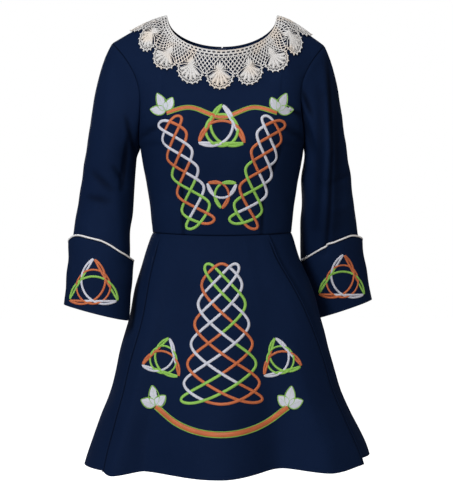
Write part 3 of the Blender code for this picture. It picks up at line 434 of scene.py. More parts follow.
def grid_normals(points, sign, wrap=False):
    """Unit normals of a grid, from its neighbours along rows and columns."""
    up = np.gradient(points, axis=0)
    if wrap:
        along = np.roll(points, -1, axis=1) - np.roll(points, 1, axis=1)
    else:
        along = np.gradient(points, axis=1)
    return sign * unit(np.cross(along, up))


def ring_point(side, level, turn):
    """A ring of the sleeve at a height: turn is 0 outside, 90 in front, 180 inside and 270 behind."""
    sections = SLEEVE[side]
    outer, inner = read(sections, "outer", level), read(sections, "inner", level)
    angle = np.radians(turn)
    out = np.zeros_like(angle)
    for at, top, bottom, height, spread in SLEEVE_FOLDS[side]:
        around = np.exp(-0.5 * ((turn - at) / spread) ** 2)
        along = smoothstep(top, top - FOLD_END, level) * smoothstep(bottom, bottom + FOLD_END, level)
        out += height * around * along
    half, depth = (outer - inner) / 2 + out, read(sections, "depth", level) + out
    x = SIDES[side] * ((outer + inner) / 2 + half * np.cos(angle))
    y = read(sections, "y", level) - depth * np.sin(angle)
    z = level + read(sections, "slant", level) * np.cos(angle)
    return np.stack([x, y, z], axis=1)


def sleeve_grid(side, armhole):
    """From the armhole's loop over the cap to the first ring, then ring by ring to the wrist."""
    turn = np.arange(len(armhole)) * 360.0 / len(armhole)
    wrist = SLEEVE[side]["z"].min()
    rings = [ring_point(side, level, turn) for level in np.linspace(SLEEVE_TOP_Z, wrist, SLEEVE_ROWS)]
    reach = np.linalg.norm(rings[0] - armhole, axis=1, keepdims=True)
    fold_back = np.minimum(turn, 360 - turn)
    out, down = (read(CAP_START[side], column, fold_back) for column in ("out", "down"))
    start = np.stack([SIDES[side] * out, np.zeros_like(out), -down], axis=1) * reach
    end = unit(ring_point(side, SLEEVE_NEXT_Z, turn) - rings[0]) * reach
    cap = [hermite(u, armhole, rings[0], start, end) for u in np.linspace(0, 1, CAP_ROWS + 1)[:-1]]
    return np.array(cap + rings)


def armhole_loop(front, back, column):
    """The armhole's edge from the shoulder down the front to the armpit and up the back."""
    return np.concatenate([front[ROWS_BELOW:, column][::-1], back[ROWS_BELOW:, column][1:-1]])


def share_normals(first, second):
    """Where two pieces meet nearly flush, their edges take one normal, so their walls stay apart."""
    facing = np.sum(first * second, axis=-1, keepdims=True)
    flush = smoothstep(0.0, 0.5, facing)
    common = unit(first + second)
    return unit(mix(first, common, flush)), unit(mix(second, common, flush))


def skirt_line(turn, z):
    """Points of the skirt's outer line at angles round the body and heights."""
    turn, z = np.broadcast_arrays(np.asarray(turn, float), np.asarray(z, float))
    angle = np.radians(turn)
    half = np.where(turn < 0, read(SKIRT, "right", z), read(SKIRT, "left", z))
    depth = np.where(np.abs(turn) < 90, read(SKIRT, "front", z), read(SKIRT, "back", z))
    down = np.clip((WAIST_Z - z) / (WAIST_Z - SKIRT_END_Z), 0, 1)
    flute = read(FLUTES, "out", turn) * down ** FLUTE_POWER
    return np.stack([(half + flute) * np.sin(angle), -(depth + flute) * np.cos(angle), z], axis=-1)


def skirt_frame(turn, z):
    """The skirt line's points, with outward normals and directions of growing angle, both level."""
    step = 0.5
    along = unit(skirt_line(turn + step, z) - skirt_line(turn - step, z))
    out = np.stack([along[..., 1], -along[..., 0], np.zeros_like(along[..., 0])], axis=-1)
    return skirt_line(turn, z), out, along


def waist_z(turn):
    return WAIST_Z - WAIST_DIP * np.maximum(0.0, np.cos(np.radians(turn))) ** 2 - SEAM_GAP / 2


def row_z(turn, row):
    return mix(waist_z(turn), read(HEM, "z", turn), row)


class Pleat:
    """The layers of one knife pleat at one row: outer edge, cloth folded under, and the panel below it."""

    def __init__(self, fold, outward, row):
        level = mix(WAIST_Z, SKIRT_END_Z, row)
        self.edge = float(read(FOLDS, fold, level))
        self.outward, self.row = outward, row
        self.air = mix(*PLEAT_AIR, row)
        self.layer = 2 * SOLID_WALL + self.air
        self.degree = np.linalg.norm(skirt_line(self.edge + 1, level) - skirt_line(self.edge - 1, level)) / 2
        self.root = self.edge - outward * mix(*PLEAT_RETURN, row) / self.degree

    def frame(self, turns):
        turns = np.atleast_1d(turns)
        points, out, along = skirt_frame(turns, row_z(turns, self.row))
        return points + self.beside_fold(turns, FOLD_PROUD, FOLD_SPREAD) * out, out, along

    def beside_fold(self, turns, height, spread):
        """A height that grows from nothing at the waist and fades with the distance from the fold."""
        away = (turns - self.edge) * self.degree / spread
        return (height * self.row ** 0.5 * np.exp(-away ** 2))[:, None]

    def outer(self, start, steps):
        """The panel's outer layer from an angle to the pleat's edge, then its turn and the cloth under it,
        with painted shade in the stitched groove beside the edge.
        """
        places = self.edge - self.outward * STITCH_PLACES / self.degree
        turns = np.concatenate([
            np.linspace(start, self.root, steps + 1),
            np.linspace(self.root, places[0], PLEAT_STEPS - 2)[1:-1],
            places,
        ])
        points, normals, _ = self.frame(turns)
        stitched = ((self.edge - turns) * self.outward * self.degree - EDGE_STITCH) / STITCH_WIDE
        stitched = np.exp(-stitched ** 2) * smoothstep(0.0, STITCH_STARTS, self.row)
        points = points - STITCH_DEEP * stitched[:, None] * normals
        edge, out, along = (values[0] for values in self.frame(self.edge))
        theta = np.linspace(0, math.pi, TURN_STEPS + 1)[1:, None]
        ways = np.cos(theta) * out + np.sin(theta) * self.outward * along
        bend = edge - self.layer / 2 * out + self.layer / 2 * ways
        inner, inner_out, _ = self.frame(np.linspace(self.edge, self.root, PLEAT_STEPS + 1)[1:])
        return (
            np.concatenate([points, bend, inner - self.layer * inner_out]),
            np.concatenate([normals, ways, -inner_out]),
            # painted shade in the stitched groove, as strong as the groove is deep
            np.concatenate([stitched, np.zeros(len(bend) + len(inner))]),
        )

    def under(self):
        """The turn at the pleat's root and the layer that comes out below its edge, darkened all over with
        painted shade.
        """
        root, out, along = (values[0] for values in self.frame(self.root))
        theta = np.linspace(0, math.pi, TURN_STEPS // 2 + 1)[:, None]
        ways = np.cos(theta) * out - np.sin(theta) * self.outward * along
        bend = root - (self.layer + self.air / 2) * out + self.air / 2 * ways
        turns = np.linspace(self.root, self.edge, PLEAT_STEPS + 1)[1:]
        points, normals, _ = self.frame(turns)
        share = np.linspace(0, 1, PLEAT_STEPS + 1)[1:, None] ** 2
        deep = self.layer + self.air + share * self.beside_fold(turns, FOLD_PROUD + FOLD_HOLLOW, FOLD_SPREAD)
        return (
            np.concatenate([bend, points - deep * normals]),
            np.concatenate([-ways, normals]),
            np.full(len(bend) + len(points), PAINTED_SHADE_UNDER_PLEAT),
        )


def side_path(side, row):
    """A side panel's row, from under the front pleat to under the back pleat."""
    sign = SIDES[side]
    front, back = Pleat("front_" + side, sign, row), Pleat("back_" + side, -sign, row)
    share = np.linspace(0, 1, SIDE_STEPS + 1)[1:-1]
    turns = mix(front.edge, back.edge, share)
    points, normals, _ = skirt_frame(turns, mix(waist_z(turns), SIDE_HEM_Z[side], row))
    sunk = mix(front.layer + front.air, 0, np.sin(math.pi * share) ** 2)[:, None]
    for pleat in (front, back):
        sunk = sunk + pleat.beside_fold(turns, FOLD_HOLLOW, HOLLOW_SPREAD)
    before, after = front.under(), back.under()
    return (
        np.concatenate([before[0], points - sunk * normals, after[0][::-1]]),
        np.concatenate([before[1], normals, after[1][::-1]]),
        np.concatenate([before[2], np.zeros(len(points)), after[2]]),
    )


def front_path(row):
    right = Pleat("front_right", -1.0, row).outer(0.0, OUTER_STEPS)
    left = Pleat("front_left", 1.0, row).outer(0.0, OUTER_STEPS)
    return tuple(np.concatenate([a[::-1], b[1:]]) for a, b in zip(right, left))


def back_path(side, row):
    sign = SIDES[side]
    return Pleat("back_" + side, -sign, row).outer(180.0 * sign, BACK_STEPS)


def along_crease(points, normals, start, end, width):
    """1 on a crease and less beside it and towards its ends, where the cloth faces the front."""
    a, b, flat = np.array(start), np.array(end), points[..., [0, 2]]
    share = np.clip(((flat - a) @ (b - a)) / ((b - a) @ (b - a)), 0, 1)
    away = np.linalg.norm(flat - (a + share[..., None] * (b - a)), axis=-1)
    ends = np.sin(math.pi * mix(*CREASE_SPAN, share)) ** CREASE_FADE
    return smoothstep(*CREASE_FACING, -normals[..., 1]) * ends * np.exp(-(away / width) ** 2)


def creases(name):
    """Each crease of a piece: its two ends, its height and its half width, in metres."""
    for row in CREASES.get(name, ()):
        x0, z0, x1, z1, height, width = (value / 1000 for value in row)
        yield (x0, z0), (x1, z1), height, width


def press_creases(name, points, normals):
    """Pushes the cloth in or out along the creases of its piece."""
    for start, end, height, width in creases(name):
        points = points + (height * along_crease(points, normals, start, end, width))[..., None] * normals
    return points


def painted_crease_shade(name, points, normals):
    """Painted shade in the creases that go in, strongest in the narrow ones."""
    shade = np.zeros(points.shape[:2])
    for start, end, height, width in creases(name):
        if height < 0:
            dark = PAINTED_SHADE_NARROW if width < NARROW_CREASE else PAINTED_SHADE_WIDE
            shade = np.maximum(shade, dark * along_crease(points, normals, start, end, width))
    return shade


def ripple(points, normals, unevenness, fade):
    """Slight unevenness of worn cloth, the same each time, fading out at the seams."""
    height, size = unevenness
    waves = np.array([noise.noise(Vector(point) / size) for point in points.reshape(-1, 3)])
    return points + (height * waves.reshape(points.shape[:-1]) * fade)[..., None] * normals


def edge_fade(shape, rows=6, columns=4, wrap=False):
    """1 in a grid's middle and 0 along its seams."""
    r, c = np.arange(shape[0]), np.arange(shape[1])
    fade = np.clip(np.minimum(r, shape[0] - 1 - r) / rows, 0, 1)[:, None] * np.ones(shape[1])
    if not wrap:
        fade = fade * np.clip(np.minimum(c, shape[1] - 1 - c) / columns, 0, 1)[None, :]
    return fade * fade * (3 - 2 * fade)


def sunk_seams(points, normals, edges, shade=None):
    """Adds a line of points close beside each sewn edge, sinks the edge so that seams show as grooves, and
    marks the edge with full painted shade."""
    shade = np.zeros(points.shape[:2]) if shade is None else shade
    for axis, end in edges:
        way = -1 if end else 1
        turned, facing, dark = (np.swapaxes(grid, 0, axis)[::way] for grid in (points, normals, shade))
        step = np.linalg.norm(turned[1] - turned[0], axis=1, keepdims=True)
        share = np.minimum(SEAM_WIDE / np.maximum(step, 1e-9), SEAM_MOST)
        beside, beside_facing = mix(turned[0], turned[1], share), unit(mix(facing[0], facing[1], share))
        turned = np.concatenate([turned[:1] - SEAM_DEEP * facing[:1], beside[None], turned[1:]])
        facing = np.concatenate([facing[:1], beside_facing[None], facing[1:]])
        # the sunk edge gets full painted shade
        dark = np.concatenate([np.ones_like(dark[:1]), dark])
        points, normals, shade = (np.swapaxes(grid[::way], 0, axis) for grid in (turned, facing, dark))
    return points, normals, shade


@functools.lru_cache(maxsize=None)
def bodice_surfaces():
    """Both faces of the bodice with their creases, and their normals agreed along the seams."""
    front, back = bodice_grid(FRONT), bodice_grid(BACK)
    front_normals, back_normals = grid_normals(front, 1), grid_normals(back, -1)
    front = press_creases("bodice_front", front, front_normals)
    front = ripple(front, front_normals, FRONT_RIPPLE, edge_fade(front.shape[:2]))
    back = ripple(back, back_normals, BACK_RIPPLE, edge_fade(back.shape[:2]))
    front_normals, back_normals = grid_normals(front, 1), grid_normals(back, -1)
    shoulder = np.abs(np.linspace(-1, 1, BODICE_COLUMNS + 1)) >= 0.5
    side_seam = slice(ROWS_BELOW + 1)
    for seam in ((-1, shoulder), (side_seam, 0), (side_seam, -1)):
        common = unit(front_normals[seam] + back_normals[seam])
        front_normals[seam] = common
        back_normals[seam] = common
    return front, back, front_normals, back_normals


@functools.lru_cache(maxsize=None)
def sleeve_surface(side):
    """The sleeve's outer side with its creases, and its normals."""
    front, back, front_normals, back_normals = bodice_surfaces()
    column = -1 if SIDES[side] > 0 else 0
    points = sleeve_grid(side, armhole_loop(front, back, column))
    normals = grid_normals(points, SIDES[side], wrap=True)
    points = press_creases("sleeve_" + side, points, normals)
    points = ripple(points, normals, SLEEVE_RIPPLE, edge_fade(points.shape[:2], rows=CAP_ROWS, wrap=True))
    normals = grid_normals(points, SIDES[side], wrap=True)
    bodice_edge = armhole_loop(front_normals, back_normals, column)
    bodice_edge, normals[0] = share_normals(bodice_edge, normals[0])
    armpit = (len(ARMHOLE_STEPS) - 1) * STEP_SPLIT
    front_normals[ROWS_BELOW:, column] = bodice_edge[:armpit + 1][::-1]
    back_normals[ROWS_BELOW:-1, column] = bodice_edge[armpit:]
    back_normals[-1, column] = bodice_edge[0]
    return points, normals


@functools.lru_cache(maxsize=None)
def cuff_surface(side):
    """The cuff's outer side: it lies on the sleeve's end and stands off it at the top."""
    sleeve, normals = sleeve_surface(side)
    turn = np.arange(sleeve.shape[1]) * 360.0 / sleeve.shape[1]
    height = read(CUFF_HEIGHT, "height", turn)
    rows, facing = [], []
    for share in np.linspace(0, 1, CUFF_ROWS + 1):
        stand_off = mix(SEAM_GAP + SOLID_WALL, CUFF_STAND_OFF + SOLID_WALL, share ** CUFF_OPENING)
        row, out = [], []
        for column in range(sleeve.shape[1]):
            line, line_normals = sleeve[::-1, column], normals[::-1, column]
            z = line[0, 2] + height[column] * share
            out.append(unit(interpolate(z, line[:, 2], line_normals)))
            row.append(interpolate(z, line[:, 2], line) + stand_off * out[-1])
        rows.append(row)
        facing.append(out)
    return np.array(rows), np.array(facing)


def skirt_row(name, row):
    """One row of a skirt panel: points, normals and painted shade."""
    kind, _, side = name.removeprefix("skirt_").partition("_")
    if kind == "front":
        return front_path(row)
    return side_path(side, row) if kind == "side" else back_path(side, row)


@functools.lru_cache(maxsize=None)
def skirt_surface(name):
    """A skirt panel's outer side with its pleats and creases, its normals and its painted shade."""
    made = [skirt_row(name, row) for row in split_steps(SKIRT_STEPS, SKIRT_SPLIT)]
    points, normals, shade = (np.array([row[kind] for row in made]) for kind in range(3))
    points = press_creases(name, points, normals)
    tucked, below, at_zip = 2 * PLEAT_STEPS + TURN_STEPS + 6, PLEAT_STEPS + 8, 4
    first = tucked if name == "skirt_front" else at_zip if "back" in name else below
    last = below if "side" in name else tucked
    row, column = np.arange(points.shape[0]), np.arange(points.shape[1])
    middle = smoothstep(first, first + 8, column) * smoothstep(last, last + 8, column[::-1])
    points = ripple(points, normals, SKIRT_RIPPLE, middle * smoothstep(0, 10, row)[:, None])
    return points, normals, shade


def cells(rows, columns):
    """Row and column of every cell of a grid."""
    return (values.ravel() for values in np.meshgrid(np.arange(rows), np.arange(columns), indexing="ij"))


def grid_quads(rows, columns, wrap):
    row, column = cells(rows - 1, columns if wrap else columns - 1)
    a, b = row * columns + column, row * columns + (column + 1) % columns
    return np.stack([a, b, b + columns, a + columns], axis=1).tolist()


def cell_corners(u, v, column, row):
    """The flat corners of each cell of a grid, in the order of its face's points."""
    corners = ((column, row), (column + 1, row), (column + 1, row + 1), (column, row + 1))
    return np.stack([np.stack([u[c], v[r]], 1) for c, r in corners], axis=1)


def surface_tree(*grids):
    """Grids of points as one search tree for rays."""
    vertices, faces = [], []
    for points in grids:
        first = len(vertices)
        vertices += [tuple(point) for point in points.reshape(-1, 3)]
        faces += [tuple(first + i for i in quad) for quad in grid_quads(*points.shape[:2], False)]
    return BVHTree.FromPolygons(vertices, faces)


def grid_lengths(points, wrap):
    """Length along each row and column of a grid, for laying out the weave."""
    across = np.linalg.norm(np.diff(points, axis=1), axis=2).mean(axis=0)
    up = np.linalg.norm(np.diff(points, axis=0), axis=2).mean(axis=1)
    if wrap:
        across = np.append(across, across.mean())
    return np.concatenate([[0], np.cumsum(across)]), np.concatenate([[0], np.cumsum(up)])


def make_piece(name, vertices, faces, material, uv=None, sharp=60):
    """One object from its points and faces; uv gives a pair for every corner of every face."""
    mesh = bpy.data.meshes.new(name)
    mesh.from_pydata([tuple(vertex) for vertex in vertices], [], faces)
    if uv is not None:
        layer = mesh.uv_layers.new(name="weave")
        layer.data.foreach_set("uv", np.asarray(uv, np.float32).ravel())
    shape = bmesh.new()
    shape.from_mesh(mesh)
    bmesh.ops.recalc_face_normals(shape, faces=shape.faces)
    shape.to_mesh(mesh)
    shape.free()
    mesh.shade_smooth()
    mesh.set_sharp_from_angle(angle=math.radians(sharp))
    mesh.materials.append(material)
    made = bpy.data.objects.new(name, mesh)
    bpy.context.scene.collection.objects.link(made)
    return made


def dress_piece(made, node=None):
    """The piece rides on the dress, in place of a solid if one is named."""
    if node:
        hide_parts(node)
    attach(made, "dress")


def declare_sheet(node, held, rests_on):
    width, length, area = FLAT_CUTS[node]
    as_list(rests_on)


def cloth_piece(node, points, normals, shade, wrap=False, rests_on=(), held="stretched"):
    """A cloth wall, riding on the dress in place of its solid; shade gives the painted shade along its seams,
    creases and pressed edges.
    """
    wall = bpy.context.scene.dress_cloth.wall
    rows, columns = points.shape[:2]
    vertices = np.concatenate([points.reshape(-1, 3), (points - wall * normals).reshape(-1, 3)])
    quads = grid_quads(rows, columns, wrap)
    behind = rows * columns
    faces = quads + [[behind + corner for corner in reversed(quad)] for quad in quads]
    u, v = grid_lengths(points, wrap)
    spans = len(u) - 1
    r, c = cells(rows - 1, spans)
    corners = cell_corners(u, v, c, r)
    edges = []
    for start in (0, (rows - 1) * columns):
        edges += [(start + k, start + (k + 1) % columns) for k in range(spans)]
    if not wrap:
        for column in (0, columns - 1):
            edges += [(k * columns + column, (k + 1) * columns + column) for k in range(rows - 1)]
    faces += [[a, b, behind + b, behind + a] for a, b in edges]
    rim = np.tile([[0.0, 0.0], [RIM_WEAVE, 0.0], [RIM_WEAVE, wall], [0.0, wall]], (len(edges), 1))
    uv = np.concatenate([corners.reshape(-1, 2), corners[:, ::-1].reshape(-1, 2), rim])
    made = make_piece("cloth_" + node, vertices, faces, navy_material(), uv)
    # the painted shade, on the outer and the inner face
    marks = made.data.attributes.new("painted_shade", "FLOAT", "POINT")
    marks.data.foreach_set("value", np.tile(shade.ravel(), 2).astype(np.float32))
    dress_piece(made, node)
    declare_sheet(node, held, rests_on)


class Cords:
    """Many tubes of oval section in one mesh: each follows a path with normals that it lies against."""

    def __init__(self):
        self.vertices, self.faces, self.uv, self.count = [], [], [], 0

    def add(self, path, normals, half_wide, half_high, sides=6, closed=False, lift=0.0):
        path, normals = np.asarray(path, float), np.asarray(normals, float)
        count, first = len(path), self.count
        if count < 3:
            return
        both_ways = np.roll(path, -1, axis=0) - np.roll(path, 1, axis=0)
        tangent = unit(both_ways if closed else np.gradient(path, axis=0))
        side = unit(np.cross(tangent, normals))
        out = unit(np.cross(side, tangent))
        wide, high = (np.broadcast_to(half, count)[:, None, None] for half in (half_wide, half_high))
        angle = (np.arange(sides) * 2 * math.pi / sides + math.pi / sides)[None, :, None]
        ring = np.cos(angle) * wide * side[:, None] + np.sin(angle) * high * out[:, None]
        self.vertices.append(((path + lift * out)[:, None] + ring).reshape(-1, 3))
        self.count += count * sides
        length = lengths_along(np.concatenate([path, path[:1]]) if closed else path)
        i, k = cells(len(length) - 1, sides)
        a, b = first + i * sides + k, first + i * sides + (k + 1) % sides
        shift = (first + ((i + 1) % count) * sides + k) - a
        self.faces += np.stack([a, b, b + shift, a + shift], axis=1).tolist()
        around = (np.arange(sides + 1) / sides) * CORD_AROUND
        self.uv.append(cell_corners(around, length, k, i)[..., ::-1].reshape(-1, 2))
        if not closed:
            for end in (0, count - 1):
                self.faces.append([first + end * sides + j for j in range(sides)])
                self.uv.append(np.full((sides, 2), [length[end], 0.0]))

    def piece(self, name, material):
        vertices, uv = np.concatenate(self.vertices), np.concatenate(self.uv)
        return make_piece(name, vertices, self.faces, material, uv, sharp=70)


class Nodes:
    """Adds nodes to a shader tree."""

    def __init__(self, tree):
        self.tree = tree

    def add(self, kind, links=None, **settings):
        """A node's outputs; its inputs are linked to sockets or set to values."""
        node = self.tree.nodes.new("ShaderNode" + kind)
        for key, value in settings.items():
            setattr(node, key, value)
        for key, value in (links or {}).items():
            self.give(node.inputs[key], value)
        return node.outputs

    def give(self, socket, value):
        if isinstance(value, bpy.types.NodeSocket):
            self.tree.links.new(value, socket)
        else:
            socket.default_value = value

    def math(self, operation, *values):
        return self.add("Math", dict(enumerate(values)), operation=operation)[0]

    def noise(self, scale, detail, where=None):
        where = where or self.add("TexCoord")["Object"]
        return self.add("TexNoise", {"Vector": where, "Scale": scale, "Detail": detail})["Fac"]

    def mix(self, share, first, second):
        """A blend of two colours, each a socket or a colour's three values."""
        links = {0: share}
        for place, value in ((6, first), (7, second)):
            links[place] = value if isinstance(value, bpy.types.NodeSocket) else (*value, 1)
        return self.add("Mix", links, data_type="RGBA")[2]

    def span(self, value, low, high, from_low=0.0, from_high=1.0):
        limits = {"From Min": from_low, "From Max": from_high, "To Min": low, "To Max": high}
        return self.add("MapRange", {"Value": value, **limits})[0]


def new_group(name, inputs, outputs):
    """A shader node group of numbers: its nodes, and its inner inputs and outputs."""
    group = bpy.data.node_groups.new(name, "ShaderNodeTree")
    for label, value in inputs.items():
        group.interface.new_socket(label, in_out="INPUT", socket_type="NodeSocketFloat").default_value = value
    for label in outputs:
        group.interface.new_socket(label, in_out="OUTPUT", socket_type="NodeSocketFloat")
    given, result = group.nodes.new("NodeGroupInput"), group.nodes.new("NodeGroupOutput")
    return Nodes(group), given.outputs, result.inputs


@functools.lru_cache(maxsize=None)
def weave_group():
    """Twill weave along the cloth's own grain: thread height, thread tone and slow unevenness. The tone is
    darker where the weave is low, as painted shade between the threads, and varies with random fibre tone.
    """
    nodes, given, result = new_group(
        "twill_weave", {"Thread": 0.0006, "Unevenness Size": 14.0}, ("Height", "Tone", "Unevenness"))
    grain = nodes.add("SeparateXYZ", {0: nodes.add("TexCoord")["UV"]})
    per_thread = nodes.math("DIVIDE", math.pi * 2, given["Thread"])
    warp = nodes.math("SINE", nodes.math("MULTIPLY", grain["X"], per_thread))
    diagonal = nodes.math("ADD", grain["X"], nodes.math("MULTIPLY", grain["Y"], 0.62))
    half_rate = nodes.math("MULTIPLY", per_thread, 0.5)
    twill = nodes.math("SINE", nodes.math("MULTIPLY", diagonal, half_rate))
    height = nodes.math("MULTIPLY_ADD", twill, 0.35, nodes.math("MULTIPLY_ADD", warp, 0.12, 0.5))
    fibre = nodes.noise(900.0, 3.0)
    nodes.give(result["Height"], nodes.math("MULTIPLY_ADD", fibre, 0.25, height))
    nodes.give(result["Tone"], nodes.math("MULTIPLY_ADD", fibre, 0.6, nodes.math("MULTIPLY", height, 0.4)))
    nodes.give(result["Unevenness"], nodes.noise(given["Unevenness Size"], 4.0))
    return nodes.tree


@functools.lru_cache(maxsize=None)
def twist_group():
    """Plied thread along its own length: the height of its twist, its tone and its patches. The tone is
    lighter on the twist's crests and darker in its grooves, as painted highlight and shade, and varies with
    random slow tone.
    """
    nodes, given, result = new_group(
        "thread_twist", {"Pitch": 0.0012, "Slant": 0.6}, ("Height", "Tone", "Patch"))
    thread = nodes.add("SeparateXYZ", {0: nodes.add("TexCoord")["UV"]})
    along = nodes.math("MULTIPLY_ADD", thread["Y"], given["Slant"], thread["X"])
    turns = nodes.math("DIVIDE", nodes.math("MULTIPLY", along, math.pi * 2), given["Pitch"])
    twist = nodes.math("MULTIPLY_ADD", nodes.math("SINE", turns), 0.5, 0.5)
    slow = nodes.math("MULTIPLY", nodes.noise(40.0, 3.0), 0.55)
    nodes.give(result["Height"], nodes.math("MULTIPLY_ADD", nodes.noise(1400.0, 2.0), 0.3, twist))
    nodes.give(result["Tone"], nodes.math("MULTIPLY_ADD", twist, 0.45, slow))
    nodes.give(result["Patch"], nodes.span(nodes.noise(26.0, 1.0), 0.0, 0.55, 0.52, 0.66))
    return nodes.tree


def new_material(name, group=None, **values):
    """A material, its nodes, and the outputs of its pattern group."""
    material = bpy.data.materials.new(name)
    material.use_nodes = True
    nodes = Nodes(material.node_tree)
    links = {key.replace("_", " "): value for key, value in values.items()}
    return material, nodes, nodes.add("Group", links, node_tree=group) if group else None


def finish_shader(nodes, colour, tone=None, roughness=(), height=None, bump=(), **settings):
    """Gives the shader its colour, its roughness by a tone, its bump by a height, and its constants."""
    shader = nodes.tree.nodes["Principled BSDF"]
    nodes.give(shader.inputs["Base Color"], colour)
    if tone is not None:
        nodes.give(shader.inputs["Roughness"], nodes.span(tone, *roughness))
        raised = nodes.add("Bump", {"Height": height, "Strength": bump[0], "Distance": bump[1]})[0]
        nodes.give(shader.inputs["Normal"], raised)
    for key, value in settings.items():
        nodes.give(shader.inputs[key.replace("_", " ")], value)


@functools.lru_cache(maxsize=None)
def navy_material():
    """Twill cloth, darkened by painted shade along its seams, hems, creases and pleat edges."""
    dress = bpy.context.scene.dress_cloth
    material, nodes, pattern = new_material("navy_cloth", weave_group(), Thread=0.0007, Unevenness_Size=9.0)
    slow = nodes.span(pattern["Unevenness"], 0.82, 1.18, 0.3, 0.7)
    # The dark navy between the threads is painted shade; the fibre tone and the unevenness vary it at random
    cloth = nodes.mix(nodes.math("MULTIPLY", pattern["Tone"], slow), dress.navy_dark, dress.navy_light)
    marks = nodes.math("MULTIPLY", nodes.add("Attribute", attribute_name="painted_shade")["Fac"], PAINTED_SHADE_STRENGTH)
    finish_shader(
        nodes, nodes.mix(marks, cloth, PAINTED_SHADE_COLOUR), pattern["Tone"], (0.62, 0.80), pattern["Height"],
        (0.35, 0.0004), Sheen_Weight=0.015, Sheen_Roughness=0.40, Sheen_Tint=(0.20, 0.35, 0.90, 1.0),
        Specular_IOR_Level=0.03,
    )
    return material


@functools.lru_cache(maxsize=None)
def thread_material(name, dark, light, roughness, pitch, slant, sheen, bump):
    material, nodes, pattern = new_material(name, twist_group(), Pitch=pitch, Slant=slant)
    finish_shader(
        nodes, nodes.mix(pattern["Tone"], dark, light), pattern["Tone"], roughness, pattern["Height"],
        (bump, 0.0003), Sheen_Weight=sheen, Specular_IOR_Level=0.45,
    )
    return material


def lace_material():
    """Crochet cotton, bluish white with warmer patches laid at random."""
    trim = bpy.context.scene.dress_trim
    material, nodes, pattern = new_material("white_lace", twist_group(), Pitch=0.0011, Slant=0.8)
    plies = nodes.mix(pattern["Tone"], trim.lace_dark, trim.lace_light)
    finish_shader(
        nodes, nodes.mix(pattern["Patch"], plies, trim.lace_warm), pattern["Tone"], (0.60, 0.80),
        pattern["Height"], (0.6, 0.0003), Sheen_Weight=0.08, Specular_IOR_Level=0.35,
    )
    return material


@functools.lru_cache(maxsize=None)
def metal_material():
    """Dull cast metal with fine scratches and tarnish in its hollows."""
    material, nodes, _ = new_material("zip_metal")
    where = nodes.add("TexCoord")["Object"]
    stretched = nodes.add("Mapping", {"Vector": where, "Scale": (3000.0, 120.0, 120.0)})
    scratch = nodes.noise(1.0, 2.0, stretched[0])
    tarnish = nodes.mix(nodes.noise(500.0, 5.0), (0.20, 0.19, 0.18), (0.45, 0.45, 0.46))
    finish_shader(nodes, tarnish, scratch, (0.22, 0.50), scratch, (0.2, 0.0001), Metallic=1.0)
    return material


def neckline_point(turn):
    """The neckline at an angle round the neck: 0 in front, 90 at the wearer's left."""
    face = FRONT if abs(turn) < 90 else BACK
    angle = math.radians(turn)
    place = math.atan2(math.sin(angle) / NECK_HALF, abs(math.cos(angle)) / NECK_DEPTH[face])
    drop = math.cos(place)
    return np.array([NECK_HALF * math.sin(place), face * NECK_DEPTH[face] * drop, -NECK_DROP[face] * drop])


def line_over_shoulder(tree, turn, distances):
    """Points on the bodice at set distances from the neckline, all in one upright plane."""
    start, origin = neckline_point(turn), np.array(LACE_RAYS_FROM)
    lift = math.atan2(start[2] - origin[2], math.hypot(start[0], start[1]))
    angle = math.radians(turn)
    line = [start]
    for lower in np.radians(np.arange(RAY_STEP, RAYS_TO, RAY_STEP)):
        level = math.cos(lift - lower)
        ray = Vector((level * math.sin(angle), -level * math.cos(angle), math.sin(lift - lower)))
        hit = tree.ray_cast(Vector(origin), ray)[0]
        if hit is not None:
            line.append(np.array(hit))
    return interpolate(distances, lengths_along(line), line)


class LaceGround:
    """The bodice round the neck as a map from the lace's flat pattern to points and normals."""

    def __init__(self):
        tree = surface_tree(*bodice_surfaces()[:2])
        self.distances = np.arange(0, LACE_FAR, LACE_STEP)
        end = 180 - math.degrees(math.atan2(LACE_END_GAP, NECK_DEPTH[BACK]))
        turns = np.linspace(-end, end, LACE_TURNS)
        self.points = np.array([line_over_shoulder(tree, turn, self.distances) for turn in turns])
        self.normals = grid_normals(self.points, 1)
        reach = lengths_along(self.points[:, np.searchsorted(self.distances, LACE_VALLEY)])
        self.along = reach / reach[-1] * LACE_REPEATS

    def at(self, repeat, distance):
        """Points and normals on the cloth at places along the lace and distances from the neckline."""
        i = np.interp(repeat, self.along, np.arange(len(self.along)))
        d = np.clip(np.asarray(distance, float) / LACE_STEP, 0, len(self.distances) - 1.001)
        low_i, low_d = np.minimum(i.astype(int), len(self.along) - 2), d.astype(int)
        si, sd = (i - low_i)[:, None], (d - low_d)[:, None]

        def between(grid):
            near = mix(grid[low_i, low_d], grid[low_i + 1, low_d], si)
            return mix(near, mix(grid[low_i, low_d + 1], grid[low_i + 1, low_d + 1], si), sd)

        points, normals = between(self.points), unit(between(self.normals))
        lift = LACE_LIFT + LACE_CREST * np.exp(-(points[:, 1] / LACE_CREST_SPREAD) ** 2)
        return points + (lift + LACE_THREAD_LIFT)[:, None] * normals, normals


def resample(path, step, closed=False):
    """A path cut into even steps."""
    path = np.asarray(path, float)
    if closed:
        path = np.concatenate([path, path[:1]])
    reach = lengths_along(path)
    even = interpolate(np.linspace(0, reach[-1], max(4, int(round(reach[-1] / step)) + 1)), reach, path)
    return even[:-1] if closed else even


def scallop_point(middle, theta, grow=0.0):
    """A point of the scallop's border, in metres along the lace and from the neckline."""
    half, deep = LACE_PITCH * SCALLOP_HALF + grow, LACE_SCALLOP + grow
    return LACE_PITCH * middle + half * math.cos(theta), LACE_VALLEY + deep * math.sin(theta)


def in_motif(x, d, middle):
    """Whether a point of the net lies under a repeat's leaf or fan."""
    across = abs(x - LACE_PITCH * middle)
    leaf, fan = (
        (across / half_wide) ** 2 + ((d - centre) / half_deep) ** 2 < 1
        for centre, half_wide, half_deep in (LEAF_OVAL, FAN_OVAL)
    )
    return leaf or d > FAN_TOP and fan


